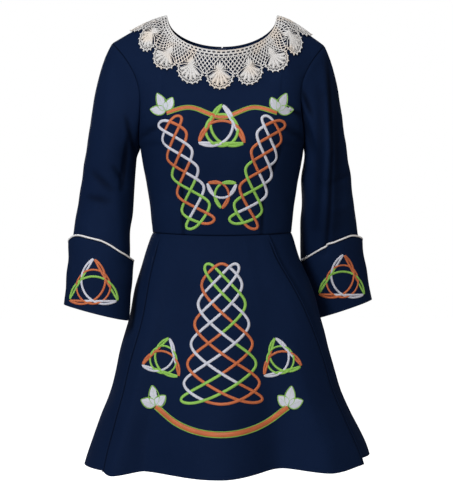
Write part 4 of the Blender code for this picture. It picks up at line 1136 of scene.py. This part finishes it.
def net_runs(first_x, slope):
    """A diagonal of the net, broken where motifs lie on it; it ends at the lace's valleys."""
    runs, run = [], []
    for d in np.arange(NET_FROM, LACE_VALLEY - NET_SHORT, NET_STEP):
        x = first_x + slope * (d - NET_FROM)
        off = in_motif(x, d, math.floor(x / LACE_PITCH) + 0.5)
        if off or not 0 <= x <= LACE_PITCH * LACE_REPEATS:
            runs.append(run)
            run = []
        else:
            run.append((x, d))
    return [run for run in (*runs, run) if len(run) > 3]


def lace_threads():
    """Every thread of the collar in its flat pattern: path, half width and height in millimetres, kind."""
    whole = LACE_PITCH * LACE_REPEATS
    for d, half in LACE_BANDS:
        yield [(LACE_MARGIN, d), (whole - LACE_MARGIN, d)], half, 0.62, "thread"
    bars = LACE_BARS * LACE_REPEATS
    for i in range(bars):
        for (top, bottom, half), shift in ((FIRST_BARS, 0.25), (SECOND_BARS, 0.75)):
            x = whole * (i + shift) / bars
            yield [(x, top), (x, (top + bottom) / 2), (x, bottom)], half, 0.6, "thread"
    spare = int(LACE_VALLEY * NET_SLOPE / LACE_PITCH * NET_LINES) + 1
    for i in range(-spare, NET_LINES * LACE_REPEATS + spare + 1):
        for slope in (-NET_SLOPE, NET_SLOPE):
            for run in net_runs((i + 0.5) * LACE_PITCH / NET_LINES, slope):
                yield run, NET_HALF, 0.55, "thread"
    for x in (END_THREAD_IN, whole - END_THREAD_IN):
        yield [(x, d) for d in np.linspace(END_THREAD_TOP, LACE_VALLEY, 12)], 0.8, 0.6, "thread"
    for repeat in range(LACE_REPEATS):
        yield from motif_threads(repeat + 0.5)


def petal(foot, tip, bulge):
    """A closed pointed loop from a foot to a tip."""
    foot, tip = np.array(foot), np.array(tip)
    way = tip - foot
    side = np.array([-way[1], way[0]]) / np.linalg.norm(way) * bulge
    t = np.linspace(0, math.pi, 12)
    rise = (1 - np.cos(t)) / 2
    wide = np.sin(t) ** 0.8 * (0.55 + 0.45 * rise)
    right, left = (foot + rise[:, None] * way + sign * wide[:, None] * side for sign in (1, -1))
    return np.concatenate([right, left[::-1][1:-1]])


def motif_threads(middle):
    """One repeat's leaf, fan of petals, border with points, and picots, as lace_threads gives them."""
    x0 = LACE_PITCH * middle

    def rim(low, high, count, *deep):
        """Points round the scallop between two shares of its half turn, at the given depths by turns."""
        turns = np.linspace(low, high, count) * math.pi
        return [scallop_point(middle, theta, -deep[i % len(deep)]) for i, theta in enumerate(turns)]

    for side in (-1, 1):
        for path, half, high in LEAF_BLADES:
            yield [(x0 + side * x, d) for x, d in path], half, high, "leaf"
    path, half, high = LEAF_STEM
    yield [(x0 + x, d) for x, d in path], half, high, "leaf"
    wide, centre, deep = LEAF_RING
    ring = [(x0 + wide * math.sin(t) * (1.25 - 0.35 * math.cos(t)), centre - deep * math.cos(t))
            for t in np.linspace(0, 2 * math.pi, 28, endpoint=False)]
    yield ring, 0.55, 0.5, "ring"
    foot = (x0, FAN_FOOT)
    for theta in np.linspace(0.10, 0.90, 6) * math.pi:
        tip = scallop_point(middle, theta, -BORDER_DEEP - PETAL_SHORT)
        yield [foot, mix(np.array(foot), np.array(tip), 0.5), tip], 3.3, 0.85, "petal"
        yield petal(foot, scallop_point(middle, theta, -BORDER_DEEP), PETAL_BULGE), 0.5, 0.6, "ring"
    for side in (-1, 1):
        corner = scallop_point(middle, 0.0 if side > 0 else math.pi)
        yield [foot, (mix(x0, corner[0], FAN_BEND[0]), FAN_BEND[1]), corner], 0.95, 0.7, "thread"
    ends = [(x0 + side * LACE_PITCH * 0.5, LACE_VALLEY - LACE_MARGIN) for side in (1, -1)]
    yield ends[:1] + rim(0.0, 1.0, 40, 0.0) + ends[1:], 1.05, 0.75, "thread"
    yield rim(0.03, 0.97, 36, BORDER_DEEP), 0.75, 0.65, "thread"
    yield rim(0.03, 0.97, 21, 0.0, BORDER_DEEP), 0.65, 0.55, "thread"
    for theta in np.linspace(0.05, 0.95, 9) * math.pi:
        near, far = scallop_point(middle, theta), scallop_point(middle, theta, PICOT_OUT)
        yield [near, mix(np.array(near), np.array(far), 0.5), far], 1.65, 1.1, "dot"


def lace_piece():
    ground, cords = LaceGround(), Cords()
    for path, wide, high, kind in lace_threads():
        closed, solid = kind == "ring", kind in ("leaf", "petal", "dot")
        flat = resample(path, SOLID_STEP if solid else OPEN_STEP, closed)
        points, normals = ground.at(flat[:, 0] / LACE_PITCH, flat[:, 1])
        share = np.linspace(0, 1, len(flat))
        wide = wide * MM
        if kind == "leaf":
            wide = wide * np.sin(math.pi * np.clip(share * 0.92 + 0.05, 0, 1)) ** 0.7
        if kind == "petal":
            wide = wide * (0.35 + 0.65 * share) * np.sin(math.pi * np.clip(share * 0.80 + 0.10, 0, 1)) ** 0.5
        if kind == "dot":
            wide = wide * np.sin(math.pi * (0.2 + 0.6 * share))
        lift = LACE_SOLID_LIFT * solid
        cords.add(points, normals, wide, high * MM, sides=8 if solid else 6, closed=closed, lift=lift)
    return cords.piece("lace_threads", lace_material())


# Shaded and lit colours of each thread, mixed by the twist's tone: painted satin sheen and shade, varied by
# random tone
THREADS = {
    "orange": ((0.28, 0.055, 0.019), (0.82, 0.225, 0.072)),
    "lime": ((0.13, 0.33, 0.030), (0.38, 0.74, 0.140)),
    "pale": ((0.42, 0.44, 0.55), (0.76, 0.79, 0.90)),
}


def straightened(wave, sharpness):
    """A wave with straighter flanks and the same crests."""
    return np.arcsin(sharpness * wave) / math.asin(sharpness)


def axis_curve(start, end, half_start, half_end, passes, bights, phase=0.0, samples=420):
    """A closed plait along an axis: it runs to and fro between two ends and weaves from side to side."""
    start, end = np.array(start), np.array(end)
    theta = np.linspace(0, 2 * math.pi, samples, endpoint=False)
    share = (1 - straightened(np.cos(passes * theta + phase), END_SHARPNESS)) / 2
    aside = mix(half_start, half_end, share) * straightened(np.sin(bights * theta), SIDE_SHARPNESS)
    way = unit(end - start)
    return start + share[:, None] * (end - start) + aside[:, None] * np.array([way[1], -way[0]])


def ring_curve(centre, radius, samples=120):
    theta = np.linspace(0, 2 * math.pi, samples, endpoint=False)
    return np.array(centre) + radius * np.stack([np.cos(theta), np.sin(theta)], axis=1)


def triquetra_curve(centre, reach, turned=0.0, samples=60):
    """Three half circles that meet in points, each passing through the middle."""
    radius = reach / 1.1547     # the points lie 2 / sqrt(3) radii from the centre
    theta = np.linspace(math.pi / 2, 3 * math.pi / 2, samples, endpoint=False)
    x, y = radius / math.sqrt(3) + radius * np.cos(theta), radius * np.sin(theta)
    path = []
    for i in range(3):
        lean = math.radians(90 + turned + 60 + 120 * i)
        across, up = x * math.cos(lean) - y * math.sin(lean), x * math.sin(lean) + y * math.cos(lean)
        path.append(np.stack([across, up], axis=1))
    return np.array(centre) + np.concatenate(path)


def arc_curve(*knots, samples=90):
    """An open smooth curve through the knots."""
    knots = np.array(knots, float)
    reach = lengths_along(knots)
    return through_knots(reach, knots, np.gradient(knots, reach, axis=0), np.linspace(0, reach[-1], samples))


class Knotwork:
    """Curves that weave over and under each other, laid on cloth and stitched in thread."""

    def __init__(self, tree, width, high):
        self.tree, self.width, self.high = tree, width, high
        self.curves = []
        self.cords = {name: Cords() for name in THREADS}

    def strand(self, path, colours, closed=True, width=None, edged=False):
        self.curves.append({
            "path": resample(path, STITCH_STEP, closed), "colours": colours, "closed": closed,
            "width": width or self.width, "edged": edged,
        })

    def crossings(self):
        """Every place where strands cross: a curve and the place along it, and the other curve's."""
        starts, ends, owner, place = [], [], [], []
        for index, curve in enumerate(self.curves):
            path, count = curve["path"], len(curve["path"]) - (not curve["closed"])
            starts.append(path[:count])
            ends.append(np.roll(path, -1, axis=0)[:count])
            owner += [index] * count
            place += range(count)
        a, b = np.concatenate(starts), np.concatenate(ends)
        owner, place = np.array(owner), np.array(place)
        found = []
        for i in range(len(a)):
            j = np.arange(i + 1, len(a))
            curve, apart = self.curves[owner[i]], np.abs(place[j] - place[i])
            round_end = (apart > len(curve["path"]) - NEIGHBOURS) & curve["closed"]
            close = (owner[j] == owner[i]) & ((apart < NEIGHBOURS) | round_end)
            j = j[~close & (np.abs(a[j] - a[i]).sum(axis=1) < CROSSING_REACH)]
            if not len(j):
                continue
            r, s = b[i] - a[i], b[j] - a[j]
            cross = r[0] * s[:, 1] - r[1] * s[:, 0]
            gap = a[j] - a[i]
            with np.errstate(divide="ignore", invalid="ignore"):
                t = (gap[:, 0] * s[:, 1] - gap[:, 1] * s[:, 0]) / cross
                u = (gap[:, 0] * r[1] - gap[:, 1] * r[0]) / cross
            for k in np.flatnonzero((t >= 0) & (t < 1) & (u >= 0) & (u < 1)):
                found.append((owner[i], place[i] + t[k], owner[j[k]], place[j[k]] + u[k]))
        return found

    def over_and_under(self, found):
        """Each curve passes over and under by turns: True where a crossing's first stretch is on top."""
        visits = {index: [] for index in range(len(self.curves))}
        for number, (one, at_one, two, at_two) in enumerate(found):
            visits[one].append((at_one, number, True))
            visits[two].append((at_two, number, False))
        ties = {number: [] for number in range(len(found))}
        for index, row in visits.items():
            row.sort()
            following = row[1:] + (row[:1] if self.curves[index]["closed"] else [])
            for (_, n, first_n), (_, m, first_m) in zip(row, following):
                if n != m:
                    ties[n].append((m, first_n == first_m))
                    ties[m].append((n, first_n == first_m))
        top = {}
        for number in range(len(found)):
            if number in top:
                continue
            top[number] = True
            queue = [number]
            while queue:
                n = queue.pop(0)
                for m, flip in ties[n]:
                    if m not in top:
                        top[m] = not top[n] if flip else top[n]
                        queue.append(m)
        return top

    def stitch(self):
        """Lays every strand on the cloth: it rises over some strands and dips under the others."""
        found = self.crossings()
        top = self.over_and_under(found)
        meetings = {index: [] for index in range(len(self.curves))}
        for number, (one, at_one, two, at_two) in enumerate(found):
            meetings[one].append((at_one, top[number], self.curves[two]["width"]))
            meetings[two].append((at_two, not top[number], self.curves[one]["width"]))
        for index, curve in enumerate(self.curves):
            self.lay(curve, meetings[index])

    def lay(self, curve, meetings):
        """One strand, in stretches between the places where it dips under; its colours change there."""
        path, closed, colours = curve["path"], curve["closed"], curve["colours"]
        ring = np.concatenate([path, path[:1]]) if closed else path
        reach = lengths_along(ring)
        total = reach[-1]
        rise = np.zeros(len(ring))
        cuts = []
        for at, over, width in meetings:
            place = np.interp(at, np.arange(len(reach)), reach)
            away = np.abs(reach - place)
            if closed:
                away = np.minimum(away, total - away)
            bump = np.exp(-((away / (CREST_SPREAD * width)) ** 2))
            rise = np.where(bump > 0.3, 0, rise) + (RISE_OVER if over else -DIP_UNDER) * bump
            if not over:
                cuts.append(place)
        if not cuts:
            self.ribbon(curve, path, rise[:len(path)], closed, colours[0])
            return
        cuts.sort()
        ends = zip(cuts, cuts[1:] + [cuts[0] + total]) if closed else zip([0.0, *cuts], [*cuts, total])
        places = np.column_stack([ring, rise])
        reach, places = np.concatenate([reach, reach[1:] + total]), np.concatenate([places, places[1:]])
        for low, high in ends:
            at = np.linspace(low, high, max(4, int((high - low) / STITCH_STEP) + 1))
            stretch = interpolate(at, reach, places)
            place = ((low + high) / 2 % total) / total
            self.ribbon(curve, stretch[:, :2], stretch[:, 2], False, colours[int(place * len(colours))])

    def on_cloth(self, path):
        """Points and normals of the cloth behind a path that is seen from the front."""
        points, normals = [], []
        for x, z in path:
            hit, normal = self.tree.ray_cast(Vector((x, -1.0, z)), Vector((0, 1, 0)))[:2]
            if hit is None:
                raise ValueError(f"the embroidery leaves the cloth at {x:.3f}, {z:.3f}")
            points.append(hit)
            normals.append(normal if normal.y < 0 else -normal)
        return np.array(points), np.array(normals)

    def ribbon(self, curve, path, rise, closed, colour):
        """Satin stitch along a path; an edged one has a lime cord on each side."""
        points, normals = self.on_cloth(path)
        points = points + rise[:, None] * normals
        if len(points) > 6:
            smooth = normals.copy()
            for _ in range(2):
                smooth[1:-1] = (smooth[:-2] + 2 * smooth[1:-1] + smooth[2:]) / 4
            normals = unit(smooth)
        half = curve["width"] / 2
        if curve["edged"]:
            side = unit(np.cross(unit(np.gradient(points, axis=0)), normals))
            for sign in (-1, 1):
                edge = points + sign * (half - EDGE_INSET) * side
                self.cords["lime"].add(edge, normals, *EDGE_CORD, 6, closed)
            half -= EDGE_ROOM
        self.cords[colour].add(points, normals, half, self.high, 10, closed)

    def leaf(self, centre, length, half, turned):
        """A pointed leaf filled with pale satin stitch, edged with a lime cord and with a midrib."""
        way = np.array([math.cos(math.radians(turned)), math.sin(math.radians(turned))])
        side = np.array([-way[1], way[0]])
        share = np.linspace(0.0, 1.0, 26)
        wide = half * np.sin(math.pi * share ** 0.8) ** 0.75
        line = np.array(centre) + (share[:, None] * length) * way
        filled = np.clip(wide - LEAF_INSET, LEAF_LEAST, None)
        self.cords["pale"].add(*self.on_cloth(line), filled, LEAF_HIGH, 10)
        outline = np.concatenate([line + wide[:, None] * side, (line - wide[:, None] * side)[::-1][1:-1]])
        self.cords["lime"].add(*self.on_cloth(resample(outline, LEAF_STEP, True)), *LEAF_CORD, 6, True)
        self.cords["lime"].add(*self.on_cloth(line[2:-5]), *MIDRIB, 5)

    def sprig(self, sign, centre, half, blades):
        """Three leaves from one place, mirrored on the other side of the dress."""
        for turned, length in blades:
            self.leaf((sign * centre[0], centre[1]), length, half, 90 - sign * turned)

    def garland(self, width, end, bend, middle):
        """A wide edged strand from side to side through a lower or higher middle."""
        (end_x, end_z), (bend_x, bend_z) = end, bend
        arc = arc_curve((-end_x, end_z), (-bend_x, bend_z), middle, bend, end)
        self.strand(arc, ("orange",), closed=False, width=width, edged=True)

    def pieces(self, place):
        self.stitch()
        made = []
        for colour, cords in self.cords.items():
            if cords.count:
                material = thread_material(
                    colour + "_thread", *THREADS[colour], (0.34, 0.50), 0.0007, 0.35, 0.05, 0.45)
                made.append(cords.piece(f"knotwork_{place}_{colour}", material))
        return made


def chest_knotwork():
    work = Knotwork(surface_tree(bodice_surfaces()[0]), 0.0054, 0.0014)
    for sign in (-1, 1):
        plait = axis_curve((sign * 0.096, -0.204), (sign * 0.038, -0.399), 0.022, 0.027, 2, 7, math.pi / 2)
        work.strand(plait, PLAIT_COLOURS)
        work.sprig(sign, (0.102, -0.190), 0.0092, ((26, 0.038), (80, 0.030), (-26, 0.028)))
    work.garland(0.0095, (0.100, -0.193), (0.062, -0.184), (0.0, -0.202))
    work.strand(triquetra_curve((0.0, -0.226), 0.047), KNOT_COLOURS)
    work.strand(ring_curve((0.0, -0.226), 0.029), ("lime",))
    work.strand(triquetra_curve((0.0, -0.337), 0.030, 180), ("lime", "pale", "orange"), width=0.0044)
    return work.pieces("bodice")


def skirt_knotwork():
    work = Knotwork(surface_tree(skirt_surface("skirt_front")[0]), 0.0054, 0.0014)
    work.strand(axis_curve((0.0, -0.468), (0.0, -0.716), 0.030, 0.074, 3, 8), PLAIT_COLOURS)
    for sign in (-1, 1):
        centre = (sign * 0.106, -0.642)
        work.strand(triquetra_curve(centre, 0.040, 14 * sign), KNOT_COLOURS, width=0.0042)
        work.strand(ring_curve(centre, 0.0245), ("lime",), width=0.0036)
        work.sprig(sign, (0.120, -0.724), 0.0095, ((10, 0.036), (70, 0.028), (-46, 0.026)))
    work.garland(0.0115, (0.119, -0.726), (0.085, -0.750), (0.0, -0.768))
    return work.pieces("skirt")


def cuff_knotwork(side):
    points = cuff_surface(side)[0]
    work = Knotwork(surface_tree(np.concatenate([points, points[:, :1]], axis=1)), 0.0042, 0.0012)
    centre = {"right": (-0.235, -0.510), "left": (0.231, -0.503)}[side]
    work.strand(triquetra_curve(centre, 0.051), ("orange", "lime", "pale"))
    work.strand(ring_curve(centre, 0.031), ("orange",), width=0.0036)
    return work.pieces("cuff_" + side)


def number_setting(name, description, value, kind="LENGTH", **limits):
    return bpy.props.FloatProperty(name=name, description=description, default=value, unit=kind, **limits)


def length_setting(name, description, value):
    return number_setting(name, description, value, min=0.0, precision=5)


def colour_setting(name, description, value):
    return bpy.props.FloatVectorProperty(
        name=name, description=description, default=value, size=3, min=0.0, max=1.0, subtype="COLOR")


class DressClothSettings(bpy.types.PropertyGroup):
    """Sizes and colours of the cloth."""

    wall: length_setting("Cloth thickness", "Thickness of cloth, stiffener and lining together", 0.0014)
    # The dark navy stands for painted shade between the threads, mixed with the light navy by the weave's
    # tone
    navy_dark: colour_setting("Dark navy", "Colour of the cloth between threads", (0.0023, 0.0068, 0.0250))
    navy_light: colour_setting("Light navy", "Colour of the cloth on threads", (0.0066, 0.0180, 0.0590))


class DressTrimSettings(bpy.types.PropertyGroup):
    """Sizes and colours of piping and lace."""

    piping_radius: length_setting("Piping radius", "Radius of the cord on the cuffs' top edges", 0.0017)
    # The piping shade stands for painted shade in the twist's grooves, mixed with the piping light by the
    # twist's tone
    piping_dark: colour_setting("Piping shade", "Colour of the piping in its twist", (0.62, 0.62, 0.66))
    piping_light: colour_setting("Piping light", "Colour of the piping on its twist", (0.93, 0.93, 0.95))
    # The lace shade stands for painted shade between the plies, mixed with the lace light by the twist's tone
    lace_dark: colour_setting("Lace shade", "Colour of the lace between its plies", (0.56, 0.555, 0.55))
    lace_light: colour_setting("Lace light", "Colour of the lace on its plies", (0.85, 0.86, 0.88))
    lace_warm: colour_setting("Warm lace", "Colour of the lace's warmer patches", (0.84, 0.72, 0.60))


class DressStageSettings(bpy.types.PropertyGroup):
    """The camera, the lights and the floor."""

    camera_x: number_setting("Camera side", "Camera's place sideways", 0.0085)
    camera_z: number_setting("Camera height", "Camera's height", -0.443)
    distance: length_setting("Camera distance", "From the camera to the dress", 2.4)
    view_height: length_setting("View height", "Height of the picture at the dress", 0.95)
    key_power: number_setting("Key light", "Power of the main light", 59.0, "POWER", min=0.0)
    floor: colour_setting("Floor", "Colour of the paper floor", (0.55, 0.55, 0.55))


class DRESS_OT_bodice(bpy.types.Operator):
    """Build the bodice's front and two back panels"""

    bl_idname = "dress.bodice"
    bl_label = "Bodice"

    def execute(self, context):
        for side in SIDES:
            sleeve_surface(side)    # agrees the bodice's normals with the sleeves'
        front, back, front_normals, back_normals = bodice_surfaces()
        marks = painted_crease_shade("bodice_front", front, front_normals)
        cloth_piece("bodice_front", *sunk_seams(front, front_normals, (BOTTOM, TOP, FIRST, LAST), marks))
        middle = BODICE_COLUMNS // 2
        for side, sign in SIDES.items():
            columns = slice(middle, None) if sign > 0 else slice(0, middle + 1)
            panel = back[:, columns].copy()
            panel[:, 0 if sign > 0 else -1, 0] = sign * ZIP_SLIT
            edges = (BOTTOM, TOP, LAST if sign > 0 else FIRST)
            cloth_piece("bodice_back_" + side, *sunk_seams(panel, back_normals[:, columns], edges))
        return {"FINISHED"}


class DRESS_OT_sleeves(bpy.types.Operator):
    """Build both sleeves"""

    bl_idname = "dress.sleeves"
    bl_label = "Sleeves"

    def execute(self, context):
        for side in SIDES:
            points, normals = sleeve_surface(side)
            sewn = sunk_seams(points, normals, (BOTTOM,), painted_crease_shade("sleeve_" + side, points, normals))
            cloth_piece("sleeve_" + side, *sewn, wrap=True, held="hung",
                        rests_on=("cloth_bodice_front", "cloth_bodice_back_" + side))
        return {"FINISHED"}


class DRESS_OT_cuffs(bpy.types.Operator):
    """Build both cuffs and the piping on their top edges"""

    bl_idname = "dress.cuffs"
    bl_label = "Cuffs and piping"

    def execute(self, context):
        trim = context.scene.dress_trim
        radius = trim.piping_radius
        piping = thread_material("white_piping", tuple(trim.piping_dark), tuple(trim.piping_light),
                                 (0.30, 0.45), 0.0020, 0.9, 0.1, 0.25)
        for side in SIDES:
            points, normals = cuff_surface(side)
            # Painted shade along the cuff's top edge, under the piping
            shade = np.zeros(points.shape[:2])
            shade[-1] = 1.0
            cloth_piece("cuff_" + side, points, normals, shade, wrap=True, rests_on=("cloth_sleeve_" + side,),
                        held="hung")
            rise = unit(points[-1] - points[-2])
            cord = Cords()
            centre = points[-1] - SOLID_WALL / 2 * normals[-1] + (radius + SEAM_GAP) * rise
            cord.add(centre, normals[-1], radius, radius, 14, closed=True)
            dress_piece(cord.piece("piping_cuff_" + side, piping), "cuff_piping_" + side)
        return {"FINISHED"}


class DRESS_OT_skirt(bpy.types.Operator):
    """Build the skirt's front, sides and backs with their pleats"""

    bl_idname = "dress.skirt"
    bl_label = "Skirt"

    def execute(self, context):
        rows = split_steps(SKIRT_STEPS, SKIRT_SPLIT)
        for name in SKIRT_PANELS:
            points, normals, shade = skirt_surface(name)
            points = points.copy()
            if "back" in name:
                points[rows <= ZIP_END, 0, 0] = SIDES[name.rsplit("_", 1)[1]] * ZIP_SLIT
            points[0, :, 2] += SEAM_GAP / 2
            sewn = sunk_seams(points, normals, (BOTTOM,), shade)
            cloth_piece(name, *sewn, rests_on=("cloth_bodice_front",), held="hung")
        return {"FINISHED"}


class DRESS_OT_lace(bpy.types.Operator):
    """Build the crocheted collar"""

    bl_idname = "dress.lace"
    bl_label = "Lace collar"

    def execute(self, context):
        made = lace_piece()
        dress_piece(made, "lace_collar")
        under = ("cloth_bodice_front", "cloth_bodice_back_left", "cloth_bodice_back_right")
        declare_sheet("lace_collar", "laid", under)
        return {"FINISHED"}


class DRESS_OT_knotwork(bpy.types.Operator):
    """Stitch the interlaced embroidery on bodice, skirt and cuffs"""

    bl_idname = "dress.knotwork"
    bl_label = "Knotwork embroidery"

    def execute(self, context):
        for made in chest_knotwork() + skirt_knotwork() + cuff_knotwork("left") + cuff_knotwork("right"):
            dress_piece(made)
        return {"FINISHED"}


def centre_back_line():
    """The back's middle from just under the neckline to the end of the zip."""
    back = bodice_surfaces()[1]
    bodice = back[:, BODICE_COLUMNS // 2][::-1].copy()
    bodice[0] += ZIP_TOP_MARGIN * unit(bodice[1] - bodice[0])
    rows = [row for row in split_steps(SKIRT_STEPS, SKIRT_SPLIT) if 0 < row <= ZIP_END]
    line = np.concatenate([bodice, skirt_line(180.0, np.array([row_z(180.0, row) for row in rows]))])
    line[:, 0] = 0.0
    return line


def zip_teeth(material):
    """The closed coil in the slit between the back panels: one short bar for each tooth."""
    line = resample(centre_back_line(), TOOTH_PITCH / 2)
    down = unit(np.gradient(line, axis=0))
    outward = np.stack([np.zeros(len(line)), -down[:, 2], down[:, 1]], axis=1)
    cords = Cords()
    for i, (place, out) in enumerate(zip(line - TOOTH_SUNK * outward, outward)):
        reach = np.array([TOOTH_REACH, 0.0, 0.0]) * (1 if i % 2 else -1)
        bar = [place - 0.4 * reach, place + 0.1 * reach, place + 0.6 * reach]
        cords.add(bar, [out] * 3, TOOTH_RADIUS, TOOTH_RADIUS, 6)
    return cords.piece("zip_teeth", material)


class DRESS_OT_zip(bpy.types.Operator):
    """Build the zip's teeth and finish its slider, pull tab and tape"""

    bl_idname = "dress.zip"
    bl_label = "Zip"

    def execute(self, context):
        # The tape's darker navy is painted shade in the twist's grooves, mixed with the lighter one by the
        # twist's tone
        tape = thread_material(
            "zip_tape", (0.002, 0.009, 0.034), (0.006, 0.024, 0.090), (0.6, 0.8), 0.0008, 0.5, 0.0, 0.5)
        metal = metal_material()
        for name, material in (("zip_slider", metal), ("zip_pull", metal), ("zip_tape", tape)):
            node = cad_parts[name]
            node.data.materials.clear()
            node.data.materials.append(material)
        dress_piece(zip_teeth(tape))
        return {"FINISHED"}


class DRESS_OT_stage(bpy.types.Operator):
    """Set the camera, the lights and the floor"""

    bl_idname = "dress.stage"
    bl_label = "Stage"

    def execute(self, context):
        scene = context.scene
        stage = scene.dress_stage
        camera = bpy.data.cameras.new("camera")
        camera.sensor_width = 36.0
        camera.sensor_fit = "AUTO"
        camera.lens = camera.sensor_width * stage.distance / stage.view_height
        place = (stage.camera_x, -stage.distance, stage.camera_z)
        scene.camera = self.stand(scene, camera, place, (math.pi / 2, 0, 0))
        self.floor(tuple(stage.floor))
        for name, place, size, share, colour in SOFTBOXES:
            light = bpy.data.lights.new(name, "AREA")
            light.energy, light.color, light.size = stage.key_power * share, colour, size
            self.stand(scene, light, place, (Vector(LIT) - Vector(place)).to_track_quat("-Z", "Y").to_euler())
        world = bpy.data.worlds.new("studio")
        world.use_nodes = True
        sky = Nodes(world.node_tree)
        paper = sky.tree.nodes["Background"].inputs
        sky.give(paper["Color"], (1.0, 1.0, 1.0, 1.0))
        seen = sky.add("LightPath")["Is Camera Ray"]
        sky.give(paper["Strength"], sky.math("MULTIPLY_ADD", seen, 1.0 - SKY_LIGHT, SKY_LIGHT))
        scene.world = world
        scene.view_settings.view_transform = "Standard"
        return {"FINISHED"}

    def stand(self, scene, data, place, turn):
        """Puts a camera or a light in its place."""
        holder = bpy.data.objects.new(data.name, data)
        holder.location, holder.rotation_euler = place, turn
        scene.collection.objects.link(holder)
        return holder

    def floor(self, colour):
        """A wide pale paper floor below the dress."""
        vertices = [(x, y, FLOOR_Z) for y in (-FLOOR_HALF, FLOOR_HALF) for x in (-FLOOR_HALF, FLOOR_HALF)]
        material, nodes, _ = new_material("floor_paper")
        tint = nodes.mix(nodes.noise(60.0, 3.0), [0.985 * value for value in colour], colour)
        seen = nodes.add("LightPath")["Is Camera Ray"]
        finish_shader(nodes, tint, Roughness=0.9, Emission_Color=seen, Emission_Strength=1.0)
        make_piece("floor", vertices, [(0, 1, 3, 2)], material)


class DRESS_PT_panel(bpy.types.Panel):
    """The dress's pieces and settings"""

    bl_idname = "DRESS_PT_panel"
    bl_label = "Dance dress"
    bl_space_type = "VIEW_3D"
    bl_region_type = "UI"
    bl_category = "Dress"

    def draw(self, context):
        for operator in OPERATORS:
            self.layout.operator(operator.bl_idname)
        for settings in (getattr(context.scene, name) for name in SETTINGS):
            for name in settings.__annotations__:
                self.layout.prop(settings, name)


OPERATORS = (
    DRESS_OT_stage, DRESS_OT_bodice, DRESS_OT_sleeves, DRESS_OT_cuffs, DRESS_OT_skirt, DRESS_OT_lace,
    DRESS_OT_knotwork, DRESS_OT_zip,
)
SETTINGS = {
    "dress_cloth": DressClothSettings, "dress_trim": DressTrimSettings, "dress_stage": DressStageSettings,
}


def register():
    for kind in (*SETTINGS.values(), *OPERATORS, DRESS_PT_panel):
        bpy.utils.register_class(kind)
    for name, kind in SETTINGS.items():
        setattr(bpy.types.Scene, name, bpy.props.PointerProperty(type=kind))


def unregister():
    for name in SETTINGS:
        delattr(bpy.types.Scene, name)
    for kind in reversed((*SETTINGS.values(), *OPERATORS, DRESS_PT_panel)):
        bpy.utils.unregister_class(kind)


def main():
    register()
    for operator in OPERATORS:
        getattr(bpy.ops.dress, operator.bl_idname.split(".")[1])()


if __name__ == "__main__":
    main()
